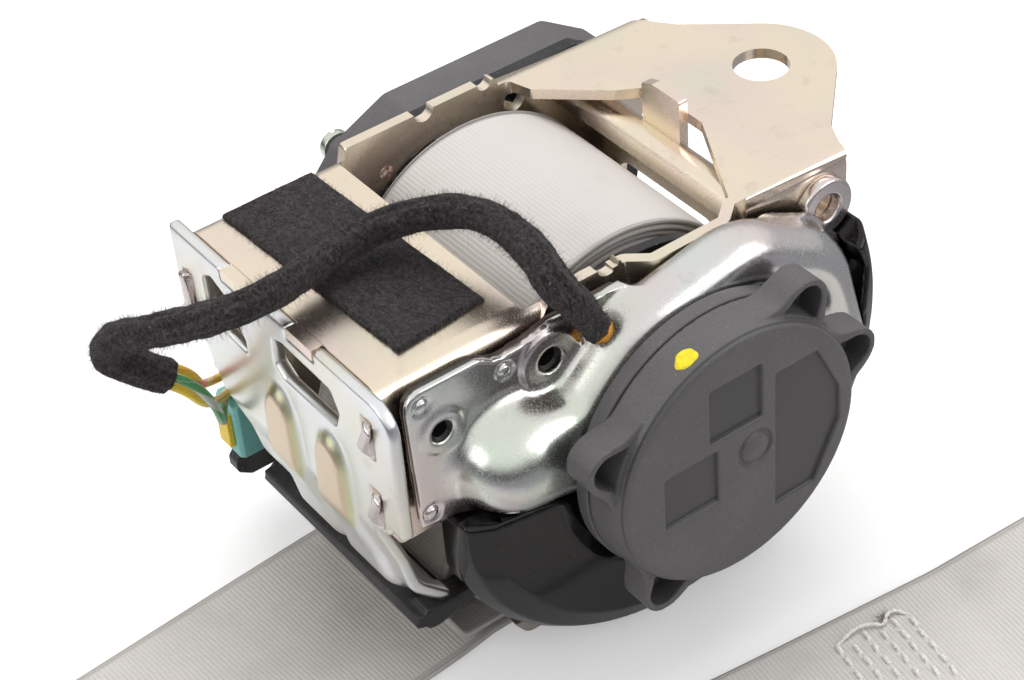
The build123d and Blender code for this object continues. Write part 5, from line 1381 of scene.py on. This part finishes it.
# Box stitch
# Thick twisted white thread that sews the belt's end down: rows of short stitches across the strip, each
# pulled into the cloth at its ends, and one loose float at the edge with a tuft of frayed ends.
STITCH_CORNER = (69.6, 67.0)
STITCH_ROWS = 6
STITCH_IN_ROW = 7
ROW_PITCH = 3.15
STITCH_PITCH = 3.5
STITCH_HALF = 1.45
STITCH_RINGS = 15
STITCH_SIDES = 12
THREAD_RADIUS = 0.42
ROW_TURN = -LEAN - math.radians(5.0)
BELT_TOP = BELT_SECOND + BELT_THICKNESS / 2
FLOAT_ROUTE = [
    (68.7, 66.9, -0.2), (68.5, 69.5, 0.7), (68.1, 72.6, 1.0), (69.2, 75.6, 0.9), (70.9, 77.2, 0.5),
    (69.0, 79.4, 0.9), (69.4, 81.6, 0.8), (71.2, 82.9, -0.2),
]
FLOAT_RINGS = 160
TUFT_AT = (68.9, 78.3)
TUFT_COUNT = 90
thread, tree, skin = finish("thread_white", Roughness=0.55, Sheen_Weight=0.3)
where = put(tree, "TexCoord").outputs["Object"]
twist = spread(tree, noise(tree, where, 2200.0, 3.0), 0.3, 0.7)
feed(skin, Base_Color=mixed(tree, twist, (0.62, 0.60, 0.57, 1), (0.93, 0.92, 0.90, 1)))
walk = np.linspace(-1, 1, STITCH_RINGS)[:, None]
turn = np.linspace(0, 2 * math.pi, STITCH_SIDES, endpoint=False)
ply = 1.0 + 0.16 * np.cos(2 * turn + 7.0 * walk)
stitch_radius = THREAD_RADIUS * np.sqrt(np.clip(1.0 - walk ** 6, 0.0, 1)) * ply
capsule = np.stack([STITCH_HALF * walk + 0 * turn, stitch_radius * np.cos(turn),
                    stitch_radius * np.sin(turn) + 0.22 - 0.55 * walk ** 4], axis=-1).reshape(-1, 3)
rows_at, places_at = np.meshgrid(np.arange(STITCH_ROWS), np.arange(STITCH_IN_ROW), indexing="ij")
rows_at = rows_at.ravel()
places_at = places_at.ravel()
jitter = np.random.default_rng(31)
lean = jitter.normal(0, 0.10, len(rows_at)) + ROW_TURN
across = STITCH_PITCH * (places_at + 0.5 * (rows_at % 2)) + jitter.normal(0, 0.12, len(rows_at))
along = ROW_PITCH * rows_at + jitter.normal(0, 0.10, len(rows_at))
middles = np.stack([STITCH_CORNER[0] + along * math.sin(LEAN) + across * math.cos(ROW_TURN),
                    STITCH_CORNER[1] + along * math.cos(LEAN) + across * math.sin(ROW_TURN),
                    np.full(len(along), BELT_TOP)], axis=1)
cosine = np.cos(lean)[:, None]
sine = np.sin(lean)[:, None]
turned = np.stack([capsule[:, 0] * cosine - capsule[:, 1] * sine,
                   capsule[:, 0] * sine + capsule[:, 1] * cosine,
                   np.broadcast_to(capsule[:, 2], (len(lean), len(capsule)))], axis=-1)
first_at = np.arange(len(lean))[:, None, None] * len(capsule)
faces = (grid_faces(STITCH_RINGS, STITCH_SIDES, closed=True) + first_at).reshape(-1, 4)
stitches = piece_of("box_stitch", placed(middles[:, None, :] + turned), faces, thread)

float_line = line_along("float_line", np.array(FLOAT_ROUTE) + (0, 0, BELT_TOP), FLOAT_RINGS)
tangent, turn, ring = rings_of(float_line, STITCH_SIDES)
ply = 1.0 + 0.18 * np.cos(2 * turn + np.arange(FLOAT_RINGS)[:, None] * 0.42)
float_wall = float_line[:, None, :] + ring * (THREAD_RADIUS * 0.8 * ply)[..., None] * MM
float_faces = grid_faces(FLOAT_RINGS, STITCH_SIDES, closed=True)[:, ::-1]
loose = piece_of("loose_float", float_wall, float_faces, thread)

frayed, tree, skin = finish("frayed_ends", Roughness=0.9, Base_Color=(0.24, 0.20, 0.15, 1))
roots = np.tile((*TUFT_AT, BELT_TOP), (TUFT_COUNT, 1))
roots += jitter.normal(0, 0.5, (TUFT_COUNT, 3)) * (1, 1.6, 0.1)
outward = jitter.normal(0, 0.6, (TUFT_COUNT, 3)) + (-0.2, 0.1, 1.0)
outward /= np.linalg.norm(outward, axis=1)[:, None]
along = np.tile((0.0, 1.0, 0.0), (TUFT_COUNT, 1))
tuft = fibres("frayed_tuft", placed(roots), outward, along, jitter.uniform(0.8, 2.2, TUFT_COUNT) * MM, frayed)
